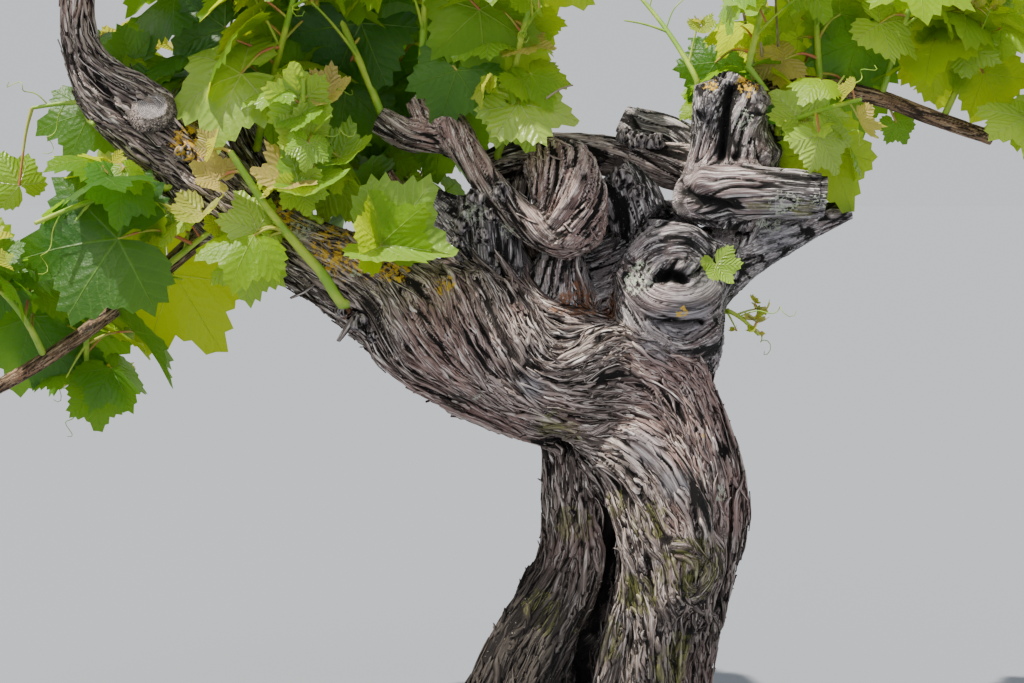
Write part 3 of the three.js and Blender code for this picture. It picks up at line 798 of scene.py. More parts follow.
def patched(places: Array, kind: str) -> Array:
    """How strongly a kind of patch shows at each place, from 0 to 1."""
    mask = np.zeros(len(places))
    for *middle, radius in PATCHES[kind]:
        gap = np.linalg.norm(places - np.array(middle), axis=1)
        mask = np.maximum(mask, 1 - smooth_step(0.45 * radius, 1.15 * radius, gap))
    return mask


def new_object(name: str, data: bpy.types.ID) -> Item:
    """A new object with this mesh, curve, light or camera, linked to the scene."""
    made = bpy.data.objects.new(name, data)
    bpy.context.scene.collection.objects.link(made)
    return made


def mesh_from(name: str, places: Array, faces: Array) -> Mesh:
    """A smooth mesh from points and faces that all have the same number of corners."""
    mesh = bpy.data.meshes.new(name)
    sides = faces.shape[1]
    mesh.vertices.add(len(places))
    mesh.vertices.foreach_set("co", np.ascontiguousarray(places, np.float32).ravel())
    mesh.loops.add(len(faces) * sides)
    mesh.loops.foreach_set("vertex_index", np.ascontiguousarray(faces, np.int32).ravel())
    mesh.polygons.add(len(faces))
    mesh.polygons.foreach_set("loop_start", np.arange(0, len(faces) * sides, sides, dtype=np.int32))
    mesh.polygons.foreach_set("use_smooth", np.full(len(faces), True))
    mesh.update(calc_edges=True)
    return mesh


def note(mesh: Mesh, name: str, values: Array) -> None:
    """Stores one number, or one vector, for each vertex under a name that the materials read."""
    kind, key = ("FLOAT_VECTOR", "vector") if values.ndim == 2 else ("FLOAT", "value")
    made = mesh.attributes.new(name, kind, "POINT")
    made.data.foreach_set(key, np.ascontiguousarray(values, np.float32).ravel())


def points_of(mesh: Mesh) -> Array:
    """The mesh's vertices as rows."""
    rows = np.empty(len(mesh.vertices) * 3, np.float32)
    mesh.vertices.foreach_get("co", rows)
    return rows.reshape(-1, 3).astype(float)


def evaluated(made: Item) -> Mesh:
    """The object's mesh with its modifiers applied, as a new plain mesh."""
    graph = bpy.context.evaluated_depsgraph_get()
    return bpy.data.meshes.new_from_object(made.evaluated_get(graph), depsgraph=graph)


def dress(mesh: Mesh, places: Array, facts: dict[str, Array]) -> None:
    """Stores on a piece of wood what the bark's material reads.

    Args:
        mesh: The piece's mesh.
        places: Its points, in millimetres.
        facts: For each point grain, in millimetres with the grain along the last number, crevice_shade:
            painted
        shade by how deep in a crack it lies, tone: its own tone, cap: 1 on a saw cut, old: 1 on old bark,
        and,
        where given, bare: how bare the wood is beyond its patches.
    """
    note(mesh, "grain", facts["grain"] * MM)
    for name in ("crevice_shade", "tone", "cap", "old"):
        note(mesh, name, facts[name])
    for kind in PATCHES:
        mask = patched(places, kind)
        note(mesh, kind, np.maximum(mask, facts["bare"]) if kind == "bare" and "bare" in facts else mask)


@dataclass(frozen=True)
class WoodPiece:
    """One piece of wood: its limbs, made as one closed skin.

    voxel is the width of its faces in millimetres, sides the number of corners round a rough tube, rounds
    how often its skin is drawn on to the wood, hidden how far inside other limbs it is left as it is, and
    rim the height under which its points stay on the ground. worn and cleared are the shares by which bare
    wood is flatter and has less painted shade in its cracks, and darkest is the dent depth at full shade.
    """

    name: str
    limbs: tuple[str, ...]
    slot: str
    voxel: float
    sides: int = 20
    rounds: int = 3
    hidden: tuple[float, float] = (-9, -1)
    rim: float = 0.02
    worn: float = 0.4
    cleared: float = 0.5
    darkest: float = 11.0

    def rough(self, wood: Wood) -> Mesh:
        """A plain skin over the piece's strands.

        Args:
            wood: The vine's wood.

        Returns:
            The skin, in millimetres.
        """
        places, faces = [], []
        for name in self.limbs:
            for number in wood.owner[name]:
                self.add_tube(wood.strands[number], places, faces)
        mesh = bpy.data.meshes.new("rough")
        mesh.from_pydata(places, [], faces)
        shape = new_object("rough", mesh)
        skin = shape.modifiers.new("skin", "REMESH")
        skin.mode = "VOXEL"
        skin.voxel_size = self.voxel
        whole = evaluated(shape)
        bpy.data.objects.remove(shape)
        if "trunk" in self.limbs:
            self.cut_at_ground(whole)
        return whole

    def add_tube(self, strand: Strand, places: list, faces: list) -> None:
        """Adds a closed tube along a strand.

        Args:
            strand: The strand.
            places: The points so far.
            faces: The faces so far.
        """
        count = len(strand.points)
        rings = np.unique(np.linspace(0, count - 1, max(3, count // 2)).astype(int))
        angles = np.arange(self.sides) * math.tau / self.sides
        first = len(places)
        for i in rings:
            wind = math.radians(strand.flutes.turn) * strand.shares[i]
            ridge = 1 + strand.flutes.depth * np.cos(strand.flutes.count * (angles + wind))
            reach = (strand.radii[i] * ridge)[:, None]
            ring = strand.points[i] + reach * (
                np.cos(angles)[:, None] * strand.across[i] + np.sin(angles)[:, None] * strand.out[i]
            )
            places.extend(ring.tolist())
        last = first + (len(rings) - 1) * self.sides
        for a in range(first, last, self.sides):
            for j in range(self.sides):
                n = (j + 1) % self.sides
                faces.append((a + j, a + self.sides + j, a + self.sides + n, a + n))
        faces.append(tuple(range(first, first + self.sides)))
        faces.append(tuple(reversed(range(last, last + self.sides))))

    @staticmethod
    def cut_at_ground(mesh: Mesh) -> None:
        """Cuts a mesh off at the ground and closes it with a flat face."""
        work = bmesh.new()
        work.from_mesh(mesh)
        geometry = [*work.verts, *work.edges, *work.faces]
        bmesh.ops.bisect_plane(
            work, geom=geometry, dist=0.01, plane_co=(0, 0, 0), plane_no=(0, 0, 1), clear_inner=True
        )
        rim = [edge for edge in work.edges if edge.is_boundary]
        made = bmesh.ops.contextual_create(work, geom=rim)
        bmesh.ops.triangulate(work, faces=made["faces"])
        bmesh.ops.recalc_face_normals(work, faces=work.faces)
        work.to_mesh(mesh)
        work.free()

    def build(self, wood: Wood) -> Item:
        """Makes the piece with its bark.

        Args:
            wood: The vine's wood.

        Returns:
            The piece's object, in metres.
        """
        mesh = self.rough(wood)
        places = points_of(mesh)
        own = [number for name in self.limbs for number in wood.owner[name]]
        grounded = places[:, 2] < self.rim
        for _ in range(self.rounds):
            found = wood.measure(places, own)
            free = smooth_step(*self.hidden, found["others"])
            places -= (found["gap"] * free)[:, None] * found["way"]
            places[grounded, 2] = 0
        found = wood.measure(places, own)
        free = smooth_step(*self.hidden, found["others"])
        bark = carved(found, len(places))
        bare = patched(places, "bare")
        dents = dented(places, wood.dents)
        height = bark["height"] * (1 - self.worn * bare) - dents
        places += (height * free)[:, None] * found["way"]
        places[:, 2] = np.maximum(places[:, 2], 0)
        places[grounded, 2] = 0
        mesh.vertices.foreach_set("co", (places * MM).astype(np.float32).ravel())
        mesh.polygons.foreach_set("use_smooth", np.full(len(mesh.polygons), True))
        # Painted shade: the cracks, and the dents by their depth, darken the colour, and bare wood less so.
        dark = bark["crevice_shade"] * (1 - self.cleared * bare) + np.maximum(dents, 0) / self.darkest
        bark["crevice_shade"] = np.clip(dark, 0, 1)
        dress(mesh, places, bark)
        mesh.name = self.name
        mesh.update()
        return new_object(self.name, mesh)


HEAD_LIMBS = (
    "head_knob", "right_arm", "rotten_heart", "centre_stub", "centre_arm", "centre_arm_knot", "mid_knot",
)
CROOK_LIMBS = (
    "crook_knob", "crook_limb", "crook_fork_left", "crook_fork_right", "back_cordon", "back_cordon_foot",
)
WOOD_PIECES = (
    WoodPiece("bark_trunk", ("trunk",), "old_bark", 2.04),
    WoodPiece("bark_long_arm", ("long_arm",), "old_bark", 1.6),
    WoodPiece("bark_rise", ("long_arm_rise", "left_back_spur"), "old_bark", 1.5),
    WoodPiece("bark_head", HEAD_LIMBS, "grey_wood", 1.5),
    WoodPiece("bark_crook", CROOK_LIMBS, "old_bark", 1.4),
    WoodPiece("bark_stump", ("stump", "back_spur", "log_stub"), "grey_wood", 1.4),
    WoodPiece("canes", ("left_cane", "right_cane", "pruned_spur"), "cane_bark", 1.15),
)


# Loose strips of bark


@dataclass(frozen=True)
class BarkStrips:
    """Strips of bark that lie along the grain of old wood, some with an end lifted off.

    width and length are their ranges, rings the rings along each, lifted the share with a lifted end,
    stray how far each leaves the grain, and sway and sway_size how far and how broadly all of them swing.
    """

    name: str
    limbs: tuple[str, ...]
    count: int
    slot: str = "old_bark"
    width: tuple[float, float] = (2.0, 7.5)
    length: tuple[float, float] = (16.0, 84.0)
    rings: int = 9
    lifted: float = 0.10
    stray: float = 0.08
    sway: float = 0.55
    sway_size: float = 13.0
    seed: int = 5

    # How much of its way a strip keeps at each step
    STEADY = 0.35
    # The share of its length over which an end tapers, to what width, and how far its width wavers
    TAPER = 0.14
    NARROWEST = 0.3
    WAVER = 0.7
    # Its thickness and what its width adds to it, the height of a lifted end, how far it stands off the
    # bark, how far its crown lies off the middle, over its width, and its least height over the ground
    THICK = (0.55, 0.13)
    LIFT = (1, 4)
    OFF_BARK = (0.1, 1.5)
    LEAN = 0.6
    LOWEST = 0.3

    def starts(self, bark: list[Item]) -> Array:
        """Picks places on the bark for the middles of the strips.

        Args:
            bark: The bark pieces that the strips lie on.

        Returns:
            The places, in millimetres.
        """
        rng = np.random.default_rng(self.seed)
        rows = []
        for made in bark:
            mesh = made.data
            places = points_of(mesh) / MM
            facts = {name: np.empty(len(places), np.float32) for name in ("old", "cap", "bare", "crevice_shade")}
            for name, values in facts.items():
                mesh.attributes[name].data.foreach_get("value", values)
            kept = (facts["old"] > 0.5) & (facts["cap"] < 0.2) & (facts["bare"] < 0.5)
            rows.append(places[kept & (facts["crevice_shade"] < 0.42)])
        rows = np.concatenate(rows)
        return rows[rng.choice(len(rows), self.count, replace=False)]

    def traced(self, wood: Wood, places: Array, step: Array, sign: float) -> list[Array]:
        """Follows the grain over the wood.

        Args:
            wood: The vine's wood.
            places: Where each line starts.
            step: The length of each line's steps.
            sign: 1 to go with the grain, -1 against it.

        Returns:
            The lines' places after each step.
        """
        lines = []
        heading = None
        stray = self.stray * np.random.default_rng(self.seed + 2).normal(size=len(places))[:, None] * sign
        for _ in range(self.rings // 2):
            found = wood.measure(places)
            flow = found["flow"]
            if heading is None:
                heading = flow * sign
            flow = flow * np.sign((flow * heading).sum(axis=1) + 1e-9)[:, None]
            sway = np.stack([noise(places / self.sway_size, 60 + n) for n in range(3)], axis=1)
            flow = flow + self.sway * sway + stray * np.cross(found["way"], flow)
            flow -= (flow * found["way"]).sum(axis=1)[:, None] * found["way"]
            heading = unit((1 - self.STEADY) * unit(flow) + self.STEADY * heading)
            places = on_skin(places, found) + heading * step[:, None]
            lines.append(places)
        return lines

    def build(self, wood: Wood, bark: list[Item]) -> Item:
        """Makes the strips as one mesh.

        Args:
            wood: The vine's wood.
            bark: The bark pieces that the strips lie on.

        Returns:
            The strips' object, in metres.
        """
        rng = np.random.default_rng(self.seed + 1)
        middle = self.starts(bark)
        middle = on_skin(middle, wood.measure(middle))
        size = rng.random(self.count) ** 1.6
        length = self.length[0] + (self.length[1] - self.length[0]) * rng.random(self.count) ** 1.4
        width = self.width[0] + (self.width[1] - self.width[0]) * size
        step = length / (self.rings - 1)
        back = self.traced(wood, middle, step, -1)[::-1]
        path = np.stack([*back, middle, *self.traced(wood, middle, step, 1)], axis=1)
        flat = path.reshape(-1, 3)
        found = wood.measure(flat)
        relief = carved(found, len(flat))["height"]
        flat = on_skin(flat, found)
        height = (relief - dented(flat, wood.dents)).reshape(self.count, -1)
        for _ in range(2):
            inner = (height[:, :-2] + 2 * height[:, 1:-1] + height[:, 2:]) / 4
            height = np.concatenate([height[:, :1], inner, height[:, -1:]], axis=1)
        way = found["way"].reshape(path.shape)
        path = flat.reshape(path.shape)
        side = unit(np.cross(way, unit(np.gradient(path, axis=1))))
        share = np.linspace(0, 1, self.rings)
        lift = rng.random(self.count) < self.lifted
        rise = np.where(lift, self.LIFT[0] + self.LIFT[1] * rng.random(self.count), 0.0)[:, None]
        rise = rise * np.clip(share * 1.8 - 0.8, 0, 1) ** 2
        level = height + self.OFF_BARK[0] + self.OFF_BARK[1] * rng.random(self.count)[:, None] ** 2 + rise
        waver = 1 + self.WAVER * (rng.random((self.count, self.rings)) - 0.5)
        taper = np.clip(np.minimum(share, 1 - share) / self.TAPER, self.NARROWEST, 1)
        wide = (width[:, None] * taper * waver)[..., None]
        thick = (self.THICK[0] + self.THICK[1] * width)[:, None, None]
        lean = (rng.random((self.count, 1, 1)) - 0.5) * self.LEAN
        crown = path + way * (level[..., None] + thick * 0.5) + side * wide * lean
        left = path + side * wide / 2 + way * (level[..., None] - thick * 0.8)
        right = path - side * wide / 2 + way * (level[..., None] - thick * 0.8)
        rows = np.stack([left, crown, right], axis=2)
        rows[..., 2] = np.maximum(rows[..., 2], self.LOWEST)
        places = rows.reshape(-1, 3)
        made = new_object(self.name, mesh_from(self.name, places * MM, self.faces()))
        dress(made.data, places, self.facts(length[:, None] * share, rng))
        return made

    def faces(self) -> Array:
        """The triangles of all the strips: a three-sided tube each, closed at both ends."""
        last = 3 * (self.rings - 1)
        one = [(0, 1, 2), (last, last + 2, last + 1)]
        for k in range(0, last, 3):
            for j in range(3):
                a, b = k + j, k + (j + 1) % 3
                one += [(a, a + 3, b + 3), (a, b + 3, b)]
        starts = np.arange(self.count)[:, None, None] * 3 * self.rings
        return (np.array(one)[None] + starts).reshape(-1, 3)[:, ::-1]

    def facts(self, along: Array, rng: np.random.Generator) -> dict[str, Array]:
        """What the bark's material reads on the strips.

        Args:
            along: Each ring's way along its strip.
            rng: The strips' random numbers.

        Returns:
            What dress reads.
        """
        shape = (self.count, self.rings, 3)
        count = math.prod(shape)
        grain = np.zeros((*shape, 3))
        grain[..., 0] = (-1.5, 0.0, 1.5)
        grain[..., 2] = along[..., None]
        grain += rng.random((self.count, 1, 1, 3)) * 900
        tone = np.broadcast_to(rng.random((self.count, 1, 1)), shape).ravel()
        # Painted shade: both lower edges of each strip are darker than its crown.
        crevice_shade = np.broadcast_to((0.5, 0.0, 0.5), shape).ravel() + 0.12 * rng.random(count)
        return dict(
            grain=grain.reshape(-1, 3), tone=tone, crevice_shade=crevice_shade, cap=np.zeros(count), old=np.ones(count)
        )


STRIPS = (
    BarkStrips("loose_bark_trunk", ("trunk",), 3900, length=(9.0, 52.0), rings=7, stray=0.2, seed=21),
    BarkStrips("loose_bark_arm", ("long_arm", "long_arm_rise", "left_back_spur"), 2600, stray=0.1, seed=31),
    BarkStrips(
        "loose_bark_crook", (*CROOK_LIMBS, "rotten_heart"), 230, width=(1.2, 3.4), length=(10, 26), rings=7,
        stray=0.02, sway=0.15, sway_size=9.0, seed=41,
    ),
)


# Small pieces of wood: pruning cuts, knots and slabs of loose bark


@dataclass
class Heap:
    """The points of the small pieces with what dress reads of them, and their faces, in one heap."""

    places: list = field(default_factory=list)
    grain: list = field(default_factory=list)
    crevice_shade: list = field(default_factory=list)
    cap: list = field(default_factory=list)
    bare: list = field(default_factory=list)
    faces: list = field(default_factory=list)

    def add(self, place: Array, grain: Array, crevice_shade: float, cap: float = 0, bare: float = 0) -> None:
        """Adds a point."""
        lists = (self.places, self.grain, self.crevice_shade, self.cap, self.bare)
        for values, value in zip(lists, (place, grain, crevice_shade, cap, bare)):
            values.append(value)


@dataclass(frozen=True)
class Stub:
    """What is left of a cane that was cut off.

    place is (x, z) from the front. A profile's rows are (share of the radius, share of the length, more
    height, crevice_shade, cap), from the foot to the rim of the cut's face. crevice_shade is painted shade,
    darkest at the foot where the stub meets the wood.
    """

    place: tuple[float, float]
    radius: float
    length: float
    lean: Triple
    sides: int = 18
    ragged: float = 0.16
    pith: float = 1.1
    profile: tuple = (
        (1.7, 0, -5, 0.5, 0), (1.35, 0, 0.5, 0.3, 0), (1.12, 0.45, 0, 0.1, 0), (1.1, 0.9, 0, 0.1, 0),
        (1.0, 1, 0, 0.3, 0.6), (0.86, 1, -0.3, 0, 1), (0.45, 1, -0.9, 0, 1),
    )

    def add(self, wood: Wood, foot: Array, heap: Heap) -> None:
        """Adds the stub to the heap.

        Args:
            wood: The vine's wood.
            foot: Where it stands on the wood.
            heap: What it is added to.
        """
        way = wood.measure(foot[None])["way"][0]
        along = unit(0.5 * way + unit(np.array(self.lean)))
        across = unit(np.cross(along, UP + 0.1 * BEHIND))
        out = np.cross(across, along)
        first = len(heap.places)
        for share, part, more, crevice_shade, cap in self.profile:
            height = part * self.length + more
            for j in range(self.sides):
                angle = math.tau * j / self.sides
                reach = self.radius * share * (1 + self.ragged * (chance(j, first % 97) - 0.5) * (cap < 1))
                u, v = reach * math.cos(angle), reach * math.sin(angle)
                heap.add(foot + along * height + across * u + out * v, (u, v, height), crevice_shade, cap)
        heap.add(foot + along * (self.length - self.pith), (0, 0, self.length), 0, 1)
        last = first + (len(self.profile) - 1) * self.sides
        for j in range(self.sides):
            n = (j + 1) % self.sides
            for a in range(first, last, self.sides):
                b = a + self.sides
                heap.faces += [(a + j, a + n, b + n), (a + j, b + n, b + j)]
            heap.faces.append((last + j, last + n, last + self.sides))


STUBS = (Stub((-372, 569), 13, 3.6, (-0.1, -1.0, 0.9)),)


@dataclass(frozen=True)
class Slab:
    """A slab of bark along a line seen from the front, standing off the wood at its ends.

    Each station is (x, z, half width, how far it stands off).
    """

    stations: tuple
    thick: float = 1.7
    across: int = 5
    step: float = 3.0
    ragged: float = 0.5
    rough: float = 0.8

    def add(self, wood: Wood, line: Array, heap: Heap) -> None:
        """Adds the slab to the heap.

        Args:
            wood: The vine's wood.
            line: Its stations' places on the wood.
            heap: What it is added to.
        """
        sizes = np.array(self.stations, float)[:, 2:]
        course = curve_through(np.column_stack([line, sizes[:, 0]]), self.step)[0]
        lifts = curve_through(np.column_stack([line, sizes[:, 1]]), self.step)[0][:, 3]
        way = wood.measure(course[:, :3])["way"]
        side = unit(np.cross(way, unit(np.gradient(course[:, :3], axis=0))))
        first = len(heap.places)
        for i, (place, half, lift) in enumerate(zip(course[:, :3], course[:, 3], lifts)):
            # Painted shade: the slab's underside and its edges are darker than its top.
            for level, crevice_shade in ((0.0, 0.5), (self.thick, 0.05)):
                for j in range(self.across):
                    share = 2 * j / (self.across - 1) - 1
                    ragged = 1 + self.ragged * (chance(i, 3 * j + 1) - 0.5)
                    rise = lift + level * (1 - 0.4 * share * share) + self.rough * chance(i // 2, j)
                    spot = place + side[i] * half * share * ragged + way[i] * rise
                    heap.add(spot, (half * share, level, self.step * i), crevice_shade if abs(share) < 1 else 0.45)
        span = 2 * self.across
        ring = [*range(self.across), *range(span - 1, self.across - 1, -1)]
        last = first + (len(course) - 1) * span
        for a in range(first, last, span):
            for p, q in zip(ring, ring[1:] + ring[:1]):
                heap.faces += [(a + p, a + span + p, a + span + q), (a + p, a + span + q, a + q)]
        for start, turn in ((first, 1), (last, -1)):
            for low in range(start, start + self.across - 1):
                high = low + self.across
                heap.faces += [(low, low + 1, high + 1)[::turn], (low, high + 1, high)[::turn]]


SLABS = (
    Slab(((-190, 362, 2.5, 12), (-182, 350, 5, 8), (-166, 336, 7, 4), (-142, 325, 6, 1.5),
          (-112, 318, 4, 0.5))),
    Slab(((-200, 400, 1.6, 0.5), (-206, 392, 2.2, 5), (-211, 386, 1.6, 13)), thick=1.3),
    Slab(((-124, 322, 1.6, 0.5), (-134, 319, 1.8, 6), (-147, 318, 1.2, 16)), thick=1.2),
    Slab(((-258, 442, 1.4, 0.5), (-268, 438, 1.8, 5), (-279, 436, 1.2, 11)), thick=1.2),
    Slab(((-236, 424, 1.2, 0.5), (-243, 420, 1.4, 5), (-252, 420, 1.0, 12)), thick=1.1),
    Slab(((113, 260, 2, 1), (116, 249, 2.4, 4), (118, 238, 1.5, 9)), thick=1.3),
    Slab(((110, 300, 2, 1), (112, 290, 2.4, 4), (112, 279, 1.4, 8)), thick=1.3),
    Slab(((-150, 330, 3, 2), (-128, 322, 5, 1), (-104, 312, 5, 2), (-80, 302, 3, 4))),
    Slab(((-214, 385, 2.5, 5), (-206, 377, 4, 2), (-194, 368, 3, 1))),
    Slab(((-30, 296, 3, 1), (-12, 297, 5, 3), (4, 303, 4, 4), (14, 309, 2, 2)), thick=2.2),
    Slab(((118, 262, 2, 6), (114, 240, 5, 3), (112, 214, 5, 4), (108, 196, 3, 6))),
    Slab(((96, 330, 2, 4), (106, 306, 4, 3), (112, 282, 3, 5))),
)


@dataclass(frozen=True)
class Knot:
    """A rugged knot of weathered wood: its place (x, z) from the front, its radius and its seed."""

    place: tuple[float, float]
    radius: float
    seed: int
    bare: float = 0.75

    def add(self, _wood: Wood, foot: Array, heap: Heap) -> None:
        """Adds the knot to the heap.

        Args:
            _wood: Not used here.
            foot: Its middle.
            heap: What it is added to.
        """
        ball = bmesh.new()
        bmesh.ops.create_icosphere(ball, subdivisions=5, radius=1.0)
        first = len(heap.places)
        heap.faces += [tuple(first + vertex.index for vertex in face.verts) for face in ball.faces]
        points = np.array([vertex.co for vertex in ball.verts])
        ball.free()
        start = points + 10.0 * self.seed
        folds = ridged(start * (1.3, 1.3, 0.7), 71)
        cracks = ridged(start * (2.9, 2.9, 1.3), 72)
        reach = 0.62 + 0.5 * noise(start * 1.1, 70) + 0.3 * folds + 0.16 * cracks
        places = foot + points * (self.radius * reach)[:, None]
        grain = points * (self.radius, self.radius, 2.5 * self.radius) + 90.0 * self.seed
        # Painted shade: the knot darkens where its surface sinks between its folds and cracks.
        for place, own, crevice_shade in zip(places, grain, np.clip(1.15 - 0.8 * folds - 0.7 * cracks, 0, 1)):
            heap.add(place, own, crevice_shade, bare=self.bare)


KNOTS = tuple(
    Knot((x, z), radius, seed)
    for seed, (x, z, radius) in enumerate(
        (
            (-101, 495, 10), (-87, 481, 9), (-112, 474, 9), (-96, 462, 8), (-118, 456, 7), (-82, 500, 8),
            (28, 566, 9), (40, 562, 8), (52, 558, 8), (34, 554, 7), (-212, 402, 7), (-200, 392, 8),
            (-187, 381, 7), (132, 574, 9), (92, 574, 8), (-346, 532, 8), (-330, 514, 7), (20, 512, 9),
            (34, 500, 8),
        )
    )
)


def small_bark(wood: Wood) -> Item:
    """All the stubs, knots and slabs as one mesh.

    Args:
        wood: The vine's wood.

    Returns:
        The object, in metres.
    """
    heap = Heap()
    stands = (*STUBS, *KNOTS)
    for stand, foot in zip(stands, wood.laid([(stand.place,) for stand in stands])):
        stand.add(wood, foot[0], heap)
    lines = wood.laid([[station[:2] for station in slab.stations] for slab in SLABS])
    for slab, line in zip(SLABS, lines):
        slab.add(wood, line, heap)
    places = np.array(heap.places)
    mesh = mesh_from("cuts_and_slabs", places * MM, np.array(heap.faces))
    facts = {name: np.array(getattr(heap, name), float) for name in ("grain", "crevice_shade", "cap", "bare")}
    dress(mesh, places, dict(facts, tone=np.full(len(places), 0.5), old=np.ones(len(places))))
    return new_object("cuts_and_slabs", mesh)


# Materials


class Board:
    """A node tree being written. Each method adds a node and gives its result's socket."""

    def __init__(self, tree: bpy.types.NodeTree) -> None:
        """Starts on an empty tree."""
        self.tree = tree
        self.tree.nodes.clear()

    def put(self, socket: Socket, value: object) -> None:
        """Joins a socket to another one, or sets it to a value."""
        if isinstance(value, Socket):
            self.tree.links.new(value, socket)
        elif isinstance(value, tuple) and socket.type == "RGBA" and len(value) == 3:
            socket.default_value = (*value, 1)
        else:
            socket.default_value = value

    def node(self, kind: str, given: dict | tuple = (), **settings: object) -> bpy.types.Node:
        """Adds a node.

        Args:
            kind: Its kind.
            given: Its inputs, in their order or by their keys.
            settings: Its own settings.

        Returns:
            The node.
        """
        made = self.tree.nodes.new(kind)
        for key, value in settings.items():
            setattr(made, key, value)
        for key, value in given.items() if isinstance(given, dict) else enumerate(given):
            self.put(made.inputs[key], value)
        return made

    def fact(self, name: str) -> Socket:
        """A number that the piece stores for each vertex."""
        return self.node("ShaderNodeAttribute", attribute_name=name).outputs["Fac"]

    def course(self, name: str) -> Socket:
        """A vector that the piece stores for each vertex."""
        return self.node("ShaderNodeAttribute", attribute_name=name).outputs["Vector"]

    def places(self) -> Socket:
        """The point's place on the object."""
        return self.node("ShaderNodeTexCoord").outputs["Object"]

    def split(self, vector: Socket) -> bpy.types.NodeOutputs:
        """A vector's three numbers."""
        return self.node("ShaderNodeSeparateXYZ", (vector,)).outputs

    def maths(self, operation: str, a: object, b: object = 0.0, clamp: bool = False) -> Socket:
        """The result of a sum on one or two numbers."""
        return self.node("ShaderNodeMath", (a, b), operation=operation, use_clamp=clamp).outputs[0]

    def plus(self, a: object, b: object, clamp: bool = False) -> Socket:
        """Two numbers added."""
        return self.maths("ADD", a, b, clamp)

    def minus(self, a: object, b: object, clamp: bool = False) -> Socket:
        """One number less another."""
        return self.maths("SUBTRACT", a, b, clamp)

    def times(self, a: object, b: object) -> Socket:
        """Two numbers multiplied."""
        return self.maths("MULTIPLY", a, b)

    def stretched(self, vector: object, scale: Triple) -> Socket:
        """A vector with each of its numbers made larger."""
        return self.node("ShaderNodeVectorMath", (vector, scale), operation="MULTIPLY").outputs[0]

    def clouds(
        self, vector: object, scale: float = 1.0, detail: float = 3.0, rough: float = 0.55, bend: float = 0.0
    ) -> Socket:
        """Cloudy noise from 0 to 1."""
        given = {"Vector": vector, "Scale": scale, "Detail": detail, "Roughness": rough, "Distortion": bend}
        return self.node("ShaderNodeTexNoise", given).outputs["Fac"]

    def rise(self, value: object, low: float, high: float, to: tuple = (0.0, 1.0)) -> Socket:
        """A smooth rise from one number to another as value goes from low to high."""
        given = (value, low, high, *to)
        return self.node("ShaderNodeMapRange", given, interpolation_type="SMOOTHSTEP").outputs[0]

    def mix(self, share: object, a: object, b: object, way: str = "MIX") -> Socket:
        """Two colours mixed."""
        given = {0: share, 6: a, 7: b}
        made = self.node("ShaderNodeMix", given, data_type="RGBA", blend_type=way, clamp_factor=True)
        return made.outputs[2]

    def grey(self, value: Socket) -> Socket:
        """A number as a grey colour."""
        return self.node("ShaderNodeCombineColor", (value, value, value)).outputs[0]

    def bump(self, height: object, distance: float, strength: float = 1.0) -> Socket:
        """A normal with this height on it."""
        given = {"Strength": strength, "Distance": distance, "Height": height}
        return self.node("ShaderNodeBump", given).outputs["Normal"]

    def surface(self, colour: Socket, roughness: object, normal: Socket, more: dict) -> Socket:
        """A plain surface."""
        given = {"Base Color": colour, "Roughness": roughness, "Normal": normal, **more}
        return self.node("ShaderNodeBsdfPrincipled", given).outputs[0]

    def finish(self, shader: Socket) -> None:
        """Gives a material's surface out."""
        self.node("ShaderNodeOutputMaterial", {"Surface": shader})

    def use(self, group: bpy.types.NodeTree, **values: object) -> bpy.types.NodeOutputs:
        """The outputs of a group, with its inputs set by their names in small letters."""
        given = {name.capitalize(): value for name, value in values.items()}
        return self.node("ShaderNodeGroup", given, node_tree=group).outputs


def new_material(name: str) -> tuple[Material, Board]:
    """A new material and the board of its nodes."""
    material = bpy.data.materials.new(name)
    material.use_nodes = True
    return material, Board(material.node_tree)


class Group(Board):
    """A node group being written, where given holds what it is given."""

    def __init__(self, name: str, kind: str, inputs: dict[str, str], outputs: dict[str, str]) -> None:
        """Starts a group.

        Args:
            name: Its name.
            kind: Its kind of tree.
            inputs: The kind of each input, by its name.
            outputs: The kind of each output, by its name.
        """
        super().__init__(bpy.data.node_groups.new(name, kind))
        self.sockets = {label: self.socket(label, "INPUT", socket) for label, socket in inputs.items()}
        for label, socket in outputs.items():
            self.socket(label, "OUTPUT", socket)
        self.given = self.node("NodeGroupInput").outputs
        self.result = self.node("NodeGroupOutput")

    def socket(self, label: str, side: str, kind: str) -> str:
        """Adds a socket to the group and gives its identifier."""
        kind = f"NodeSocket{kind}"
        return self.tree.interface.new_socket(label, in_out=side, socket_type=kind).identifier

    def give(self, **values: object) -> bpy.types.NodeTree:
        """Gives the group's outputs out, by their names, and closes the group."""
        for name, value in values.items():
            self.put(self.result.inputs[name], value)
        return self.tree


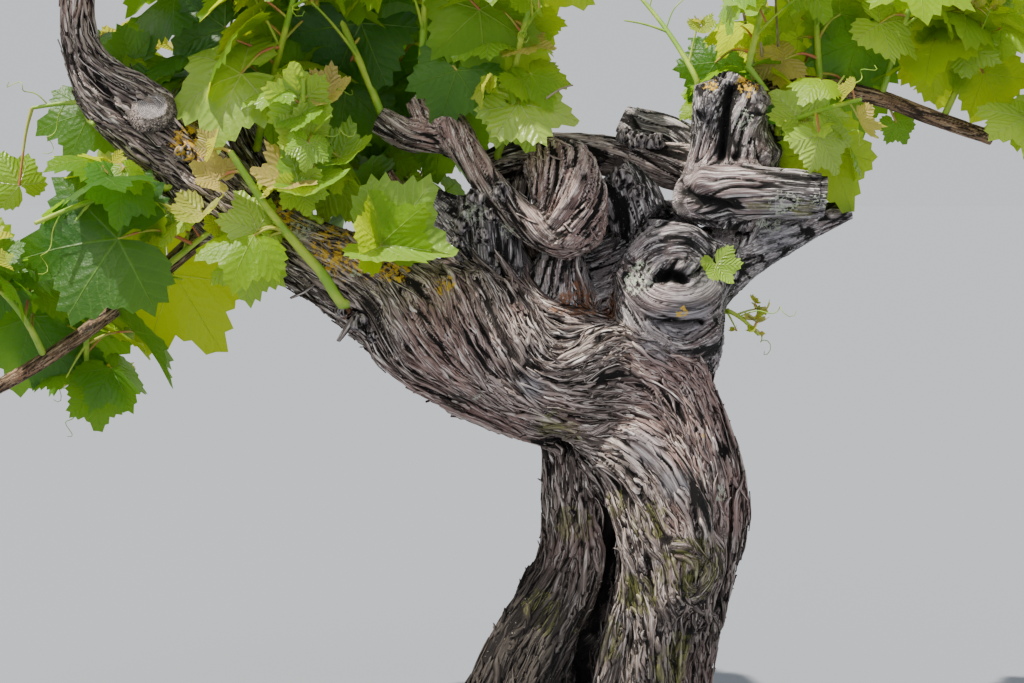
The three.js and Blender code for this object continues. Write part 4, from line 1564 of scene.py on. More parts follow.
class Groups:
    """The node groups that several materials share, each made once."""

    VEINS = (0, 52, 112)

    def __init__(self) -> None:
        """Makes them all."""
        self.fibres = self.make_fibres()
        self.growth = self.make_growth()
        self.veins = self.make_veins()

    @staticmethod
    def make_fibres() -> bpy.types.NodeTree:
        """Fine fibres, broad streaks and cracks that run along the grain."""
        board = Group(
            "wood fibres", "ShaderNodeTree", dict(Grain="Vector", Fineness="Float"),
            dict(Fibre="Float", Streak="Float", Crack="Float"),
        )
        given = {0: board.given["Grain"], "Scale": board.given["Fineness"]}
        grain = board.node("ShaderNodeVectorMath", given, operation="SCALE").outputs[0]
        fibre = board.clouds(board.stretched(grain, (900, 900, 46)), detail=4, rough=0.62, bend=0.25)
        streak = board.clouds(board.stretched(grain, (260, 260, 14)), detail=2.5, rough=0.55, bend=0.4)
        lines = board.clouds(board.stretched(grain, (420, 420, 20)), detail=2, rough=0.5, bend=0.6)
        gap = board.maths("ABSOLUTE", board.minus(lines, 0.5))
        return board.give(Fibre=fibre, Streak=streak, Crack=board.rise(gap, 0.0, 0.035, (1.0, 0.0)))

    @staticmethod
    def make_growth() -> bpy.types.NodeTree:
        """Spots of lichen or moss inside a mask."""
        inputs = dict(Mask="Float", Size="Float", Cover="Float")
        board = Group("growth", "ShaderNodeTree", inputs, dict(Spots="Float"))
        broad = board.clouds(board.places(), board.given["Size"], 5.0, 0.68)
        level = board.minus(1.0, board.times(board.given["Mask"], board.given["Cover"]))
        return board.give(Spots=board.rise(board.minus(broad, level), 0.0, 0.07))

    @classmethod
    def make_veins(cls) -> bpy.types.NodeTree:
        """The veins of a leaf, from its own map: the stalk's end at the origin and the tip along +Y."""
        outputs = dict(Main="Float", Side="Float", Puff="Float")
        board = Group("leaf veins", "ShaderNodeTree", dict(Leaf="Vector"), outputs)
        flat = board.split(board.given["Leaf"])
        x, y = board.maths("ABSOLUTE", flat[0]), flat[1]
        nearest: object = 1.0
        along: object = 0.0
        for degrees in cls.VEINS:
            sine, cosine = math.sin(math.radians(degrees)), math.cos(math.radians(degrees))
            run = board.plus(board.times(x, sine), board.times(y, cosine))
            off = board.maths("ABSOLUTE", board.minus(board.times(x, cosine), board.times(y, sine)))
            off = board.plus(off, board.maths("LESS_THAN", run, 0.0))
            closer = board.maths("LESS_THAN", off, nearest)
            along = board.plus(along, board.times(board.minus(run, along), closer))
            nearest = board.maths("MINIMUM", off, nearest)
        thin = board.rise(along, 0.0, 1.0, (0.019, 0.005))
        main = board.minus(1.0, board.maths("DIVIDE", nearest, thin), clamp=True)
        phase = board.times(board.minus(along, board.times(nearest, 0.95)), 6.5)
        phase = board.plus(phase, board.times(board.clouds(board.given["Leaf"], 2.6, 2), 1.6))
        saw = board.maths("ABSOLUTE", board.minus(board.maths("FRACT", phase), 0.5))
        side, puff = board.rise(saw, 0.0, 0.07, (1.0, 0.0)), board.rise(saw, 0.0, 0.5)
        return board.give(Main=main, Side=side, Puff=puff)


@dataclass(frozen=True)
class Spots:
    """What grows or rots in spots inside its patches.

    size, cover and strength are those of the spots. fineness and detail are those of the play between its
    two colours.
    """

    kind: str
    size: float
    cover: float
    strength: float
    low: Triple
    high: Triple
    fineness: float = 0.0
    detail: float = 2.0

    def over(
        self, board: Board, groups: Groups, colour: Socket, play: Socket | None = None,
        thinned: Socket | None = None,
    ) -> Socket:
        """A colour with these spots over it.

        Args:
            board: The material's board.
            groups: The shared node groups.
            colour: The colour under the spots.
            play: The share of the second colour, if not clouds.
            thinned: What the spots are thinned by, if anything.

        Returns:
            The new colour.
        """
        if play is None:
            play = board.clouds(board.places(), self.fineness, self.detail)
        own = board.mix(play, self.low, self.high)
        mask = board.fact(self.kind)
        spots = board.use(groups.growth, mask=mask, size=self.size, cover=self.cover)[0]
        if thinned is not None:
            spots = board.times(spots, thinned)
        return board.mix(board.times(spots, self.strength), colour, own)


ROT = Spots("rot", 190.0, 0.56, 0.8, (0.06, 0.018, 0.006), (0.40, 0.17, 0.07), 260, 3)
MOSS = Spots("moss", 150.0, 0.62, 0.6, (0.03, 0.036, 0.008), (0.27, 0.27, 0.07))
GOLD = Spots("gold", 240.0, 0.53, 0.9, (0.5, 0.25, 0.012), (0.92, 0.62, 0.06), 900)
PALE = Spots("pale", 300.0, 0.51, 0.9, (0.3, 0.34, 0.25), (0.62, 0.66, 0.55), 800)


@dataclass(frozen=True)
class BarkFinish:
    """The colours of a kind of bark, from the painted shade in its cracks to its tips, which are partly
    weathered and partly a painted highlight.
    """

    name: str
    deep: Triple
    dark: Triple
    light: Triple
    tip: Triple
    warm: Triple
    fineness: float = 1.0
    roughness: float = 0.9

    def make(self, groups: Groups) -> Material:
        """Makes the material.

        Args:
            groups: The shared node groups.

        Returns:
            The material.
        """
        material, board = new_material(self.name)
        fibre, streak, crack = board.use(groups.fibres, grain=board.course("grain"), fineness=self.fineness)
        places = board.places()
        tone = board.plus(board.times(board.fact("tone"), 0.5), board.times(streak, 0.7))
        colour = board.mix(board.rise(tone, 0.38, 0.78), self.dark, self.light)
        warm = board.maths("MAXIMUM", board.rise(board.clouds(places, 11, 3), 0.5, 0.66), board.fact("pink"))
        colour = board.mix(board.times(warm, 0.7), colour, self.warm)
        # Painted light, partly weathered fibres: the raised fibres take the pale tip colour as a painted
        # highlight, and the sunken ones are darkened as painted shade.
        colour = board.mix(board.rise(fibre, 0.5, 0.68), colour, self.tip)
        colour = board.mix(1.0, colour, board.grey(board.rise(fibre, 0.27, 0.5, (0.3, 1.0))), "MULTIPLY")
        # Painted shade near the ground, partly damp wood: the foot darkens towards a darker colour.
        damp_and_shade_colour = board.mix(streak, self.deep, (0.056, 0.05, 0.042))
        colour = board.mix(self.damp_and_shade(board, places), colour, damp_and_shade_colour)
        bare = board.mix(board.rise(streak, 0.35, 0.66), (0.05, 0.05, 0.06), (0.38, 0.355, 0.385))
        colour = board.mix(board.times(board.fact("bare"), 0.75), colour, bare)
        colour = ROT.over(board, groups, colour)
        # Painted shade in cracks, dents and under edges: the colour goes towards deep.
        crevice_shade = board.plus(board.fact("crevice_shade"), board.times(crack, 0.3), clamp=True)
        colour = board.mix(board.rise(crevice_shade, 0.12, 0.66), colour, self.deep)
        play, thinned = board.rise(fibre, 0.35, 0.65), board.rise(streak, 0.4, 0.56)
        colour = MOSS.over(board, groups, colour, play, thinned)
        colour = PALE.over(board, groups, GOLD.over(board, groups, colour))
        speck = board.use(groups.growth, mask=1.0, size=330.0, cover=0.36)[0]
        colour = board.mix(board.times(speck, 0.6), colour, (0.5, 0.48, 0.42))
        colour = board.mix(board.fact("cap"), colour, self.sawn(board, fibre))
        height = board.plus(board.times(fibre, 0.9), board.times(streak, 0.8))
        normal = board.bump(board.minus(height, board.times(crack, 0.55)), 0.0011)
        roughness = board.rise(fibre, 0.3, 0.75, (self.roughness, self.roughness - 0.16))
        board.finish(board.surface(colour, roughness, normal, {"Specular IOR Level": 0.3}))
        return material

    @staticmethod
    def damp_and_shade(board: Board, places: Socket) -> Socket:
        """How far the foot is darkened, higher up on its left: painted shade near the ground, partly damp
        wood.
        """
        across, _, high = board.split(places)
        left = board.rise(across, -0.08, 0.02, (-0.24, 0.0))
        foot = board.times(left, board.rise(high, 0.16, 0.3, (1.0, 0.0)))
        return board.rise(board.plus(high, foot), -0.1, 0.3, (0.95, 0.0))

    @staticmethod
    def sawn(board: Board, fibre: Socket) -> Socket:
        """A weathered saw cut, with year rings round the pith."""
        u, v, _ = board.split(board.course("grain"))
        square = board.plus(board.maths("POWER", u, 2.0), board.maths("POWER", v, 2.0))
        reach = board.maths("POWER", square, 0.5)
        ring = board.maths("SINE", board.plus(board.times(reach, 4200.0), board.times(fibre, 4.0)))
        face = board.mix(board.rise(ring, -1.0, 1.0), (0.2, 0.175, 0.18), (0.44, 0.4, 0.41))
        return board.mix(board.rise(fibre, 0.35, 0.5, (0.6, 0.0)), face, (0.08, 0.06, 0.05))


# deep is the colour of the painted shade in cracks and at the foot, and tip is partly weathered fibre and
# partly a painted highlight.
BARKS = {
    "old_bark": BarkFinish(
        "shaggy bark", deep=(0.006, 0.004, 0.0035), dark=(0.045, 0.031, 0.028), light=(0.36, 0.285, 0.26),
        tip=(0.80, 0.72, 0.68), warm=(0.40, 0.25, 0.225),
    ),
    "grey_wood": BarkFinish(
        "weathered wood", deep=(0.006, 0.005, 0.005), dark=(0.036, 0.031, 0.033),
        light=(0.285, 0.252, 0.262), tip=(0.76, 0.72, 0.72), warm=(0.27, 0.19, 0.185), fineness=0.85,
    ),
    "cane_bark": BarkFinish(
        "cane bark", deep=(0.03, 0.017, 0.010), dark=(0.12, 0.065, 0.035), light=(0.33, 0.20, 0.115),
        tip=(0.56, 0.42, 0.29), warm=(0.30, 0.15, 0.08), fineness=1.5, roughness=0.7,
    ),
}


# Foliage


class Tint(Enum):
    """The colours that leaves are dealt out in, by spray. DEEP is a darker copy of the leaf colour as
    painted shade, and PALE is partly the paler colour of young leaves and partly a painted sheen.
    """

    BRIGHT = "leaves_bright"
    DEEP = "leaves_deep"
    PALE = "leaves_pale"
    YOUNG = "leaves_young"


@dataclass(frozen=True)
class Growth:
    """How leaves grow along a stem, as in the part's source. A spread is the whole width of the play."""

    first_leaf: float = 0.16
    youngest: float = 0.42
    size_spread: float = 0.24
    side_spread: float = 1.5
    stalk: float = 0.72
    stalk_spread: float = 0.4
    lift: float = 0.5
    lift_spread: float = 0.5
    droop: float = 0.95
    droop_spread: float = 0.7
    tilt_spread: float = 1.1
    sag: float = 0.16
    stem_taper: float = 0.55


@dataclass(frozen=True)
class Twigs:
    """How finer twigs leave a stem: how many for each leaf, where, which way, how long and how leafy."""

    per_leaf: float = 0.45
    first: float = 0.22
    span: float = 0.66
    turn: float = 70
    turn_spread: float = 1.4
    onward: float = 0.9
    lift: float = 0.3
    long: float = 0.34
    longest: float = 62
    sag: float = 0.14
    leaf: float = 0.6
    leaves: int = 3
    face_step: float = 50
    thick: float = 0.42


@dataclass(frozen=True)
class Tendrils:
    """How tendrils leave a stem near its tip, and how they curl."""

    count: int = 2
    first: float = 0.62
    step: float = 0.2
    onward: float = 0.7
    reach: float = 34
    reach_spread: float = 22
    rows: int = 22
    wind: float = 11.2
    swing: float = 5.0
    fall: float = 10
    thick: float = 0.65
    taper: float = 0.6


GROWTH = Growth()
TWIGS = Twigs()
TENDRILS = Tendrils()
# How many turns a leaf may try
TURN_TRIES = 5
# A leaf is young past this share of its stem or under this length, and above this roll its tint changes
YOUNG_SHARE = 0.88
YOUNG_SIZE = 22
OTHER_TINT = 0.28


@dataclass(frozen=True)
class Leaf:
    """Where a leaf sits: its stalk's root, the blade's foot, and the blade's own axes."""

    root: Array
    foot: Array
    forward: Array
    above: Array
    size: float
    tint: Tint
    tone: float
    pick: int


def turned(vector: Array, axis: Array, angle: float) -> Array:
    """A vector turned round a unit axis."""
    cosine, sine = math.cos(angle), math.sin(angle)
    return vector * cosine + np.cross(axis, vector) * sine + axis * (axis @ vector) * (1 - cosine)


def branching(heading: Array, angle: float) -> Array:
    """A way off a heading, square to it and turned round it."""
    return turned(unit(np.cross(heading, BEHIND)), heading, angle)


@dataclass(frozen=True)
class Shoot:
    """A leafy shoot, grown by the source's rule, and carried on to finer twigs.

    foot is where it leaves its bough, lean the way it sets off, bow how far its tip is carried, leaf the
    length of its oldest leaf, and face turns the row of leaves round it. bare is the share of it with no
    leaves, where the bough behind it shows.
    """

    name: str
    foot: tuple
    lean: tuple
    long: float
    bow: tuple
    leaf: float
    leaves: int
    face: float
    thick: float
    tint: Tint = Tint.BRIGHT
    bare: float = 0.0

    def stations(self) -> Array:
        """The stem's stations (x, y, z, radius)."""
        foot, bow = np.array(self.foot, float), np.array(self.bow, float)
        lean = unit(np.array(self.lean, float))
        rows = []
        for k in range(4):
            t = k / 3
            thick = self.thick * (1 - (1 - GROWTH.stem_taper) * t)
            rows.append((*(foot + lean * self.long * t + bow * t * t), thick))
        return np.array(rows)

    def course(self) -> Array:
        """The stem as rows (x, y, z, radius), closely sampled."""
        return curve_through(self.stations(), max(self.long / 12, 4))[0]

    def at(self, share: float) -> tuple[Array, Array]:
        """The point and the heading at a share of the stem."""
        foot, bow = np.array(self.foot, float), np.array(self.bow, float)
        lean = unit(np.array(self.lean, float))
        point = foot + lean * self.long * share + bow * share * share
        return point, unit(lean * self.long + 2 * bow * share)

    def leaf_at(self, k: float, attempt: int, share: float | None = None, scale: float = 1.0) -> Leaf:
        """Leaf k on one of its tries.

        Args:
            k: The leaf's number.
            attempt: Which of its turns it takes.
            share: Where on the stem it sits, if not where its number puts it.
            scale: Its size over the rule's.

        Returns:
            The leaf's place.
        """
        seed = seed_of(self.name) + k

        def roll(n: int) -> float:
            return chance(seed, n + attempt * 10) - 0.5

        if share is None:
            share = GROWTH.first_leaf + (1 - GROWTH.first_leaf) * ((k + 0.5) / self.leaves)
        root, heading = self.at(share)
        age = 1 - (1 - GROWTH.youngest) * share * share
        size = self.leaf * age * (1 + GROWTH.size_spread * roll(1)) * scale
        side = math.radians(self.face) + math.pi * k + GROWTH.side_spread * roll(2)
        outward = unit(branching(heading, side) + UP * (GROWTH.lift + GROWTH.lift_spread * roll(3)))
        reach = size * GROWTH.stalk * (1 + GROWTH.stalk_spread * roll(4))
        fall = GROWTH.droop + GROWTH.droop_spread * roll(5)
        forward = unit(outward - UP * fall)
        above = unit(UP - forward * (UP @ forward))
        above = turned(above, forward, GROWTH.tilt_spread * roll(6))
        tint = self.tint
        if share > YOUNG_SHARE or size < YOUNG_SIZE:
            tint = Tint.YOUNG
        elif roll(7) > OTHER_TINT:
            tint = Tint.PALE if tint is Tint.BRIGHT else Tint.BRIGHT
        pick = int(chance(seed, 9) * 997)
        return Leaf(root, root + outward * reach, forward, above, size, tint, roll(8) + 0.5, pick)

    def side_twigs(self) -> list["Shoot"]:
        """Finer twigs that leave the stem beside its leaves, by the same rule."""
        twigs = []
        seed = seed_of(self.name)
        count = max(1, round(self.leaves * TWIGS.per_leaf))
        for k in range(count):
            share = TWIGS.first + TWIGS.span * (k + 0.5 * chance(seed, 40 + k)) / count
            point, heading = self.at(share)
            play = TWIGS.turn_spread * (chance(seed, 60 + k) - 0.5)
            side = math.radians(self.face + TWIGS.turn) + math.pi * k + play
            lean = unit(branching(heading, side) + TWIGS.onward * heading + TWIGS.lift * UP)
            long = min(TWIGS.long * self.long, TWIGS.longest) * (0.7 + 0.6 * chance(seed, 80 + k))
            bow, face = (0, 0, -TWIGS.sag * long), self.face + TWIGS.face_step * k
            leaf, thick = self.leaf * TWIGS.leaf, self.thick * TWIGS.thick
            row = (tuple(point), tuple(lean), long, bow, leaf, TWIGS.leaves, face, thick, self.tint)
            twigs.append(Shoot(f"{self.name}_{k}", *row))
        return twigs


# The shoots of the source: name, foot, lean, length, bow, leaf length, leaves, face, thickness, tint, bare
# D deals out the deep tint, which is painted shade, and P the pale tint, which is partly a painted sheen.
B, D, P = Tint.BRIGHT, Tint.DEEP, Tint.PALE
SHOOTS = [
    Shoot(*row) for row in (
        ("shoot_rise_top_left", (-438, 4, 708), (-0.35, 0.12, 1), 210, (-30, 10, 0), 58, 9, 20, 3.4, B),
        ("shoot_rise_top_right", (-434, 6, 700), (0.5, -0.25, 1), 200, (20, -20, 0), 56, 9, 70, 3.4, B),
        ("shoot_rise_side", (-404, 0, 574), (-0.9, 0.1, 0.1), 74, (0, -10, -12), 42, 3, 90, 2.8, B),
        ("shoot_elbow", (-352, -8, 506), (-0.9, -0.42, -0.05), 120, (0, -10, -26), 66, 5, 80, 3.2, D),
        ("shoot_elbow_back", (-350, 12, 530), (-0.5, 0.8, 0.7), 190, (-20, 20, -20), 58, 8, 0, 3.2, D),
        ("shoot_arm_young", (-240, -8, 452), (-0.08, -0.4, 1), 150, (10, -6, 0), 46, 8, 30, 3.4, P),
        ("shoot_arm_bright", (-204, -34, 408), (-0.74, -0.2, 0.66), 150, (12, 0, 26), 50, 7, 60, 5, B, 0.8),
        ("shoot_arm_front", (-190, -30, 430), (0.5, -0.45, 0.8), 62, (10, -4, -4), 48, 4, 70, 3, B, 0.7),
        ("shoot_arm_back", (-236, 14, 452), (0.1, 0.75, 0.8), 240, (0, 30, -10), 60, 9, 10, 3.6, D),
        ("shoot_spur_top", (-312, 52, 554), (-0.12, 0.1, 1), 250, (-20, 10, 0), 62, 10, 15, 3.6, D),
        ("shoot_spur_front", (-296, 40, 528), (0.3, -0.5, 1), 230, (10, -16, 0), 64, 9, 75, 3.6, B),
        ("shoot_cane_inner", (-400, 12, 409), (0.72, -0.22, 0.6), 118, (0, -8, -6), 62, 5, 100, 3.6, B),
        ("shoot_cane_middle", (-470, 0, 358), (-0.2, -0.5, 0.9), 130, (-30, 0, -26), 62, 7, 40, 3.2, D),
        ("shoot_cane_outer", (-552, -12, 315), (-0.2, 0.3, 1), 210, (-16, 16, 0), 60, 9, 60, 3.2, D),
        ("shoot_cane_under", (-436, 6, 381), (-0.1, 0.4, -0.3), 70, (0, 10, -24), 58, 4, 60, 3, D),
        ("shoot_cane_tip", (-604, -18, 297), (-0.9, -0.15, 0.5), 100, (-6, 0, -20), 52, 5, 80, 3, D),
        ("shoot_fork_left", (-178, -4, 557), (-0.42, 0.1, 1), 250, (-14, 6, 0), 62, 10, 35, 3.6, D),
        ("shoot_fork_right", (-150, -6, 574), (0.06, -0.16, 1), 260, (6, -18, 0), 64, 10, 0, 3.6, B),
        ("shoot_cordon_front", (-84, 20, 520), (0.12, -0.42, 1), 190, (18, -16, 0), 60, 8, 15, 3.4, B),
        ("shoot_cordon_back", (-88, 30, 518), (-0.5, 0.62, 0.8), 250, (-30, 30, 0), 64, 10, 50, 3.6, D),
        ("shoot_centre_back", (-136, 14, 482), (-0.3, 0.9, 0.34), 180, (-20, 20, -10), 62, 7, 0, 3.4, D),
        ("shoot_stump_top", (121, -8, 582), (0.2, -0.14, 1), 190, (6, -10, 0), 52, 8, 20, 3.2, P),
        ("shoot_stump_left", (92, -14, 574), (-0.42, 0.3, 1), 120, (-16, 10, -8), 46, 5, 90, 2.8, B),
        ("shoot_stump_front", (140, 0, 546), (0.5, -0.62, 0.36), 92, (16, -14, -10), 54, 5, 40, 3, P),
        ("shoot_stump_back", (132, 14, 540), (0.1, 0.9, 0.6), 200, (10, 26, -10), 60, 8, 20, 3.4, D),
        ("shoot_right_inner", (193, 36, 591), (-0.05, 0.05, 1), 210, (-10, -8, 0), 58, 9, 30, 3.2, B),
        ("shoot_right_middle", (246, 40, 580), (0.26, -0.2, 1), 220, (10, -10, 0), 58, 9, 70, 3.2, B),
        ("shoot_right_outer", (300, 42, 561), (0.5, 0.3, 1), 200, (16, 16, 0), 56, 9, 40, 3.2, B),
        ("shoot_right_tip", (334, 42, 549), (0.9, -0.2, 0.5), 130, (10, -10, -10), 50, 6, 80, 3, B),
        ("shoot_head_sucker", (92, -8, 402), (0.8, -0.25, 0.1), 46, (0, 0, -28), 30, 4, 100, 2.4, B),
    )
]


@dataclass(frozen=True)
class SeenLeaf:
    """A leaf that shows on its own from the front.

    aim is the way that its tip points, in degrees from the right, and facing is how far its upper side
    turns from the sky to the front.
    """

    foot: tuple
    aim: float
    size: float
    facing: float
    tint: Tint
    young: bool = False

    def leaf(self, number: int) -> Leaf:
        """The leaf's place, without its stalk."""
        angle = math.radians(self.aim)
        forward = unit(np.array((math.cos(angle), -0.25 + 0.3 * chance(number, 3), math.sin(angle))))
        above = unit(-BEHIND * self.facing + UP * (1.02 - self.facing))
        above = unit(above - forward * (forward @ above))
        foot = np.array(self.foot, float)
        tone = 1.1 if self.tint is Tint.YOUNG else chance(number, 5)
        return Leaf(foot, foot, forward, above, self.size, self.tint, tone, int(chance(number, 7) * 997))


Y = Tint.YOUNG
SEEN_LEAVES = [
    SeenLeaf(*row) for row in (
        # over the rise of the long arm
        ((-296, -34, 597), 196, 69, 0.6, P), ((-437, 40, 568), 192, 48, 0.7, D),
        ((-399, 40, 613), 165, 35, 0.8, D), ((-405, 22, 604), 300, 26, 0.7, B),
        ((-282, 24, 566), 272, 50, 0.8, D), ((-318, 30, 640), 200, 48, 0.8, D),
        # far left
        ((-397, -20, 461), 186, 85, 0.75, D), ((-492, 10, 505), 118, 32, 0.6, P),
        ((-488, 34, 392), 250, 70, 0.8, D), ((-462, 40, 384), 292, 67, 0.8, D),
        ((-366, 36, 428), 302, 75, 0.8, B), ((-520, 30, 440), 215, 56, 0.7, B),
        ((-430, 40, 420), 232, 53, 0.8, B),
        # round the bright shoot
        ((-313, -58, 509), 160, 24, 0.6, Y, True), ((-283, -64, 464), 188, 48, 0.5, B),
        ((-281, -58, 468), 108, 35, 0.4, P), ((-285, -54, 450), 205, 42, 0.6, P),
        ((-316, -60, 534), 70, 19, 0.3, Y, True),
        # young leaves in the middle
        ((-245, -58, 570), 98, 35, 0.8, P, True), ((-243, -58, 568), 215, 29, 0.7, P, True),
        ((-225, -54, 579), 15, 24, 0.6, Y, True), ((-247, -66, 508), 188, 35, 0.5, Y, True),
        ((-245, -68, 506), 358, 40, 0.5, P, True), ((-245, -64, 505), 285, 26, 0.7, P, True),
        ((-242, -56, 542), 152, 30, 0.7, P, True), ((-214, -52, 528), 12, 30, 0.5, P, True),
        # before the head
        ((-178, -66, 456), 352, 60, 0.55, P, True), ((-179, -66, 457), 101, 44, 0.3, B, True),
        ((-66, -44, 572), 352, 48, 0.6, P), ((-72, -44, 570), 300, 38, 0.7, P),
        ((-99, -30, 650), 276, 60, 0.7, B), ((-80, -20, 640), 310, 56, 0.8, B),
        ((-118, -10, 600), 250, 48, 0.8, D), ((-169, 40, 612), 252, 74, 0.85, D),
        ((-132, 48, 566), 262, 58, 0.85, D), ((-151, -10, 676), 268, 50, 0.8, B),
        ((-46, 0, 692), 325, 51, 0.7, B), ((-66, -20, 620), 4, 30, 0.4, Y),
        ((-200, 6, 642), 242, 66, 0.8, D), ((-214, 20, 590), 262, 61, 0.85, D),
        ((-252, 14, 640), 262, 64, 0.8, D),
        # over the stump and along the right cane
        ((102, 20, 610), 235, 38, 0.8, D), ((88, 10, 572), 200, 18, 0.5, B),
        ((169, -32, 557), 14, 37, 0.55, P, True), ((166, -30, 560), 132, 32, 0.7, P, True),
        ((179, -36, 545), 305, 34, 0.6, P), ((190, -22, 534), 300, 56, 0.7, B),
        ((175, 30, 632), 150, 46, 0.8, B), ((160, 20, 612), 200, 30, 0.6, Y),
        ((182, 30, 612), 300, 37, 0.8, B), ((226, 44, 630), 256, 53, 0.85, D),
        ((224, 52, 588), 284, 42, 0.8, D), ((240, 12, 642), 330, 43, 0.5, P),
        ((289, 42, 616), 328, 42, 0.7, B), ((338, 54, 602), 300, 45, 0.8, B),
        ((318, 42, 626), 22, 37, 0.5, P), ((262, 44, 560), 300, 21, 0.8, D),
        ((350, 44, 640), 20, 38, 0.5, B), ((210, 34, 652), 100, 43, 0.7, B),
        ((96, -14, 440), 300, 21, 0.6, P, True),
    )
]

# What shows past the leaves from the front: from (x, z), to (x, z), half width, whether the sky shows
VIEWS = (
    ((-262, 452), (-107, 388), 34, False), ((-433, 645), (-330, 524), 26, False),
    ((-165, 560), (-33, 464), 26, False), ((-123, 452), (83, 411), 40, False),
    ((96, 575), (170, 500), 30, False), ((-30, 520), (90, 540), 24, False), ((12, 570), (60, 700), 36, True),
    ((-500, 590), (-484, 690), 34, True), ((-330, 440), (-290, 380), 18, False),
    ((-600, 300), (-392, 414), 13, False),
)


@dataclass(frozen=True)
class Blade:
    """The pattern of one vine leaf, one unit from the stalk to the tip.

    cup bends its rim down, fold raises its halves like an open book, wave ripples its rim, and depth
    deepens the bays between its lobes.
    """

    cup: float
    fold: float
    wave: float
    depth: float
    seed: int
    outline: tuple = (
        (0, 1.0), (13, 0.88), (26, 0.70), (39, 0.81), (53, 0.92), (67, 0.80), (81, 0.66), (96, 0.73),
        (113, 0.78), (131, 0.68), (147, 0.58), (160, 0.44), (170, 0.2),
    )
    rim: int = 52
    teeth: float = 0.075

    def reach(self, degrees: Array) -> Array:
        """How far the blade reaches at an angle from its tip."""
        angles, reaches = np.array(self.outline).T
        plain = np.interp(np.abs(degrees), angles, reaches)
        round_part = np.interp(np.abs(degrees), angles, 0.5 + 0.42 * np.cos(np.radians(angles) * 0.55))
        return plain + (round_part - plain) * (1 - self.depth) * 0.5

    def mesh(self) -> Mesh:
        """The blade's mesh, with its tip along +Y and its upper side along +Z."""
        rng = np.random.default_rng(self.seed)
        turn = np.linspace(-170, 170, self.rim)
        tooth = np.where(np.arange(self.rim) % 2, 1 + self.teeth, 1 - self.teeth * 0.5)
        tooth[self.rim // 2] = 1.03
        tooth *= 1 + 0.05 * (rng.random(self.rim) - 0.5)
        rings = [(turn, self.reach(turn) * tooth)]
        rings += [(turn[::n], self.reach(turn[::n]) * share) for n, share in ((2, 0.66), (4, 0.32))]
        places, faces, starts = [], [], []
        phase = rng.random(3) * math.tau
        for angles, reaches in rings:
            starts.append(len(places))
            for a, r in zip(np.radians(angles), reaches):
                x, y = r * math.sin(a), r * math.cos(a)
                z = -self.cup * r * r + self.fold * abs(x)
                z += self.wave * r * r * (math.sin(3 * a + phase[0]) + 0.6 * math.sin(7 * a + phase[1]))
                places.append((x, y, z))
        places.append((0, 0, 0))
        outer, middle, inner = starts
        many, some, few = (len(ring[0]) for ring in rings)
        for first, second, count, total in ((outer, middle, some, many), (middle, inner, few, some)):
            for k in range(count):
                a, b, c = (first + min(2 * k + n, total - 1) for n in (0, 1, 2))
                p, q = second + k, second + min(k + 1, count - 1)
                faces.append((p, b, a))
                if c != b:
                    faces.append((p, c, b) if q == p else (p, q, b))
                if q != p and c != b:
                    faces.append((q, c, b))
        faces += [(len(places) - 1, k + 1, k) for k in range(inner, inner + few - 1)]
        mesh = mesh_from("blade", np.array(places), np.array(faces)[:, ::-1])
        note(mesh, "leaf", np.array([(x, y, 0) for x, y, _ in places]))
        return mesh


BLADES = tuple(
    Blade(cup, fold, wave, depth, seed)
    for seed, (cup, fold, wave, depth) in enumerate(
        (
            (0.26, 0.10, 0.07, 0.9), (0.38, 0.20, 0.09, 0.7), (0.20, -0.16, 0.08, 1.0),
            (0.46, 0.05, 0.11, 0.6), (0.14, 0.34, 0.07, 0.8), (0.34, -0.22, 0.09, 0.9),
            (0.22, 0.42, 0.06, 0.7), (0.5, 0.14, 0.08, 1.0),
        )
    )
)
YOUNG_BLADES = (
    Blade(-0.3, 0.4, 0.12, 1.0, 20), Blade(-0.1, 0.7, 0.1, 1.0, 21), Blade(0.2, 0.55, 0.13, 1.0, 22),
    Blade(-0.45, 0.3, 0.12, 1.0, 23),
)


class NodesTree(Group):
    """A geometry node tree being written, from its named inputs to Realize Instances and Set Material."""

    def __init__(self, name: str, inputs: dict[str, str]) -> None:
        """Starts a tree, where inputs holds the kind of each input after the geometry, by its name."""
        geometry = dict(Geometry="Geometry")
        super().__init__(name, "GeometryNodeTree", {**geometry, **inputs, "Finish": "Material"}, geometry)

    def stored(self, name: str, kind: str) -> Socket:
        """A value that each point stores."""
        made = self.node("GeometryNodeInputNamedAttribute", {"Name": name}, data_type=kind)
        return next(socket for socket in made.outputs if socket.enabled and socket.name == "Attribute")

    def close(self, geometry: Socket) -> None:
        """Realizes the instances, sets the finish and gives the result out."""
        real = self.node("GeometryNodeRealizeInstances", {"Geometry": geometry}).outputs[0]
        given = {"Geometry": real, "Shade Smooth": True}
        shade = self.node("GeometryNodeSetShadeSmooth", given).outputs[0]
        given = {"Geometry": shade, "Material": self.given["Finish"]}
        self.give(Geometry=self.node("GeometryNodeSetMaterial", given).outputs[0])

    def apply(self, shape: Item, name: str, **values: object) -> Item:
        """Runs the tree on an object and keeps the result as a plain mesh.

        Args:
            shape: The object that the tree starts from. It is removed.
            name: The result's name.
            values: The tree's inputs, by their names in small letters.

        Returns:
            The new object.
        """
        modifier = shape.modifiers.new("grow", "NODES")
        modifier.node_group = self.tree
        for label, value in values.items():
            modifier[self.sockets[label.capitalize()]] = value
        mesh = evaluated(shape)
        bpy.data.objects.remove(shape)
        mesh.name = name
        return new_object(name, mesh)


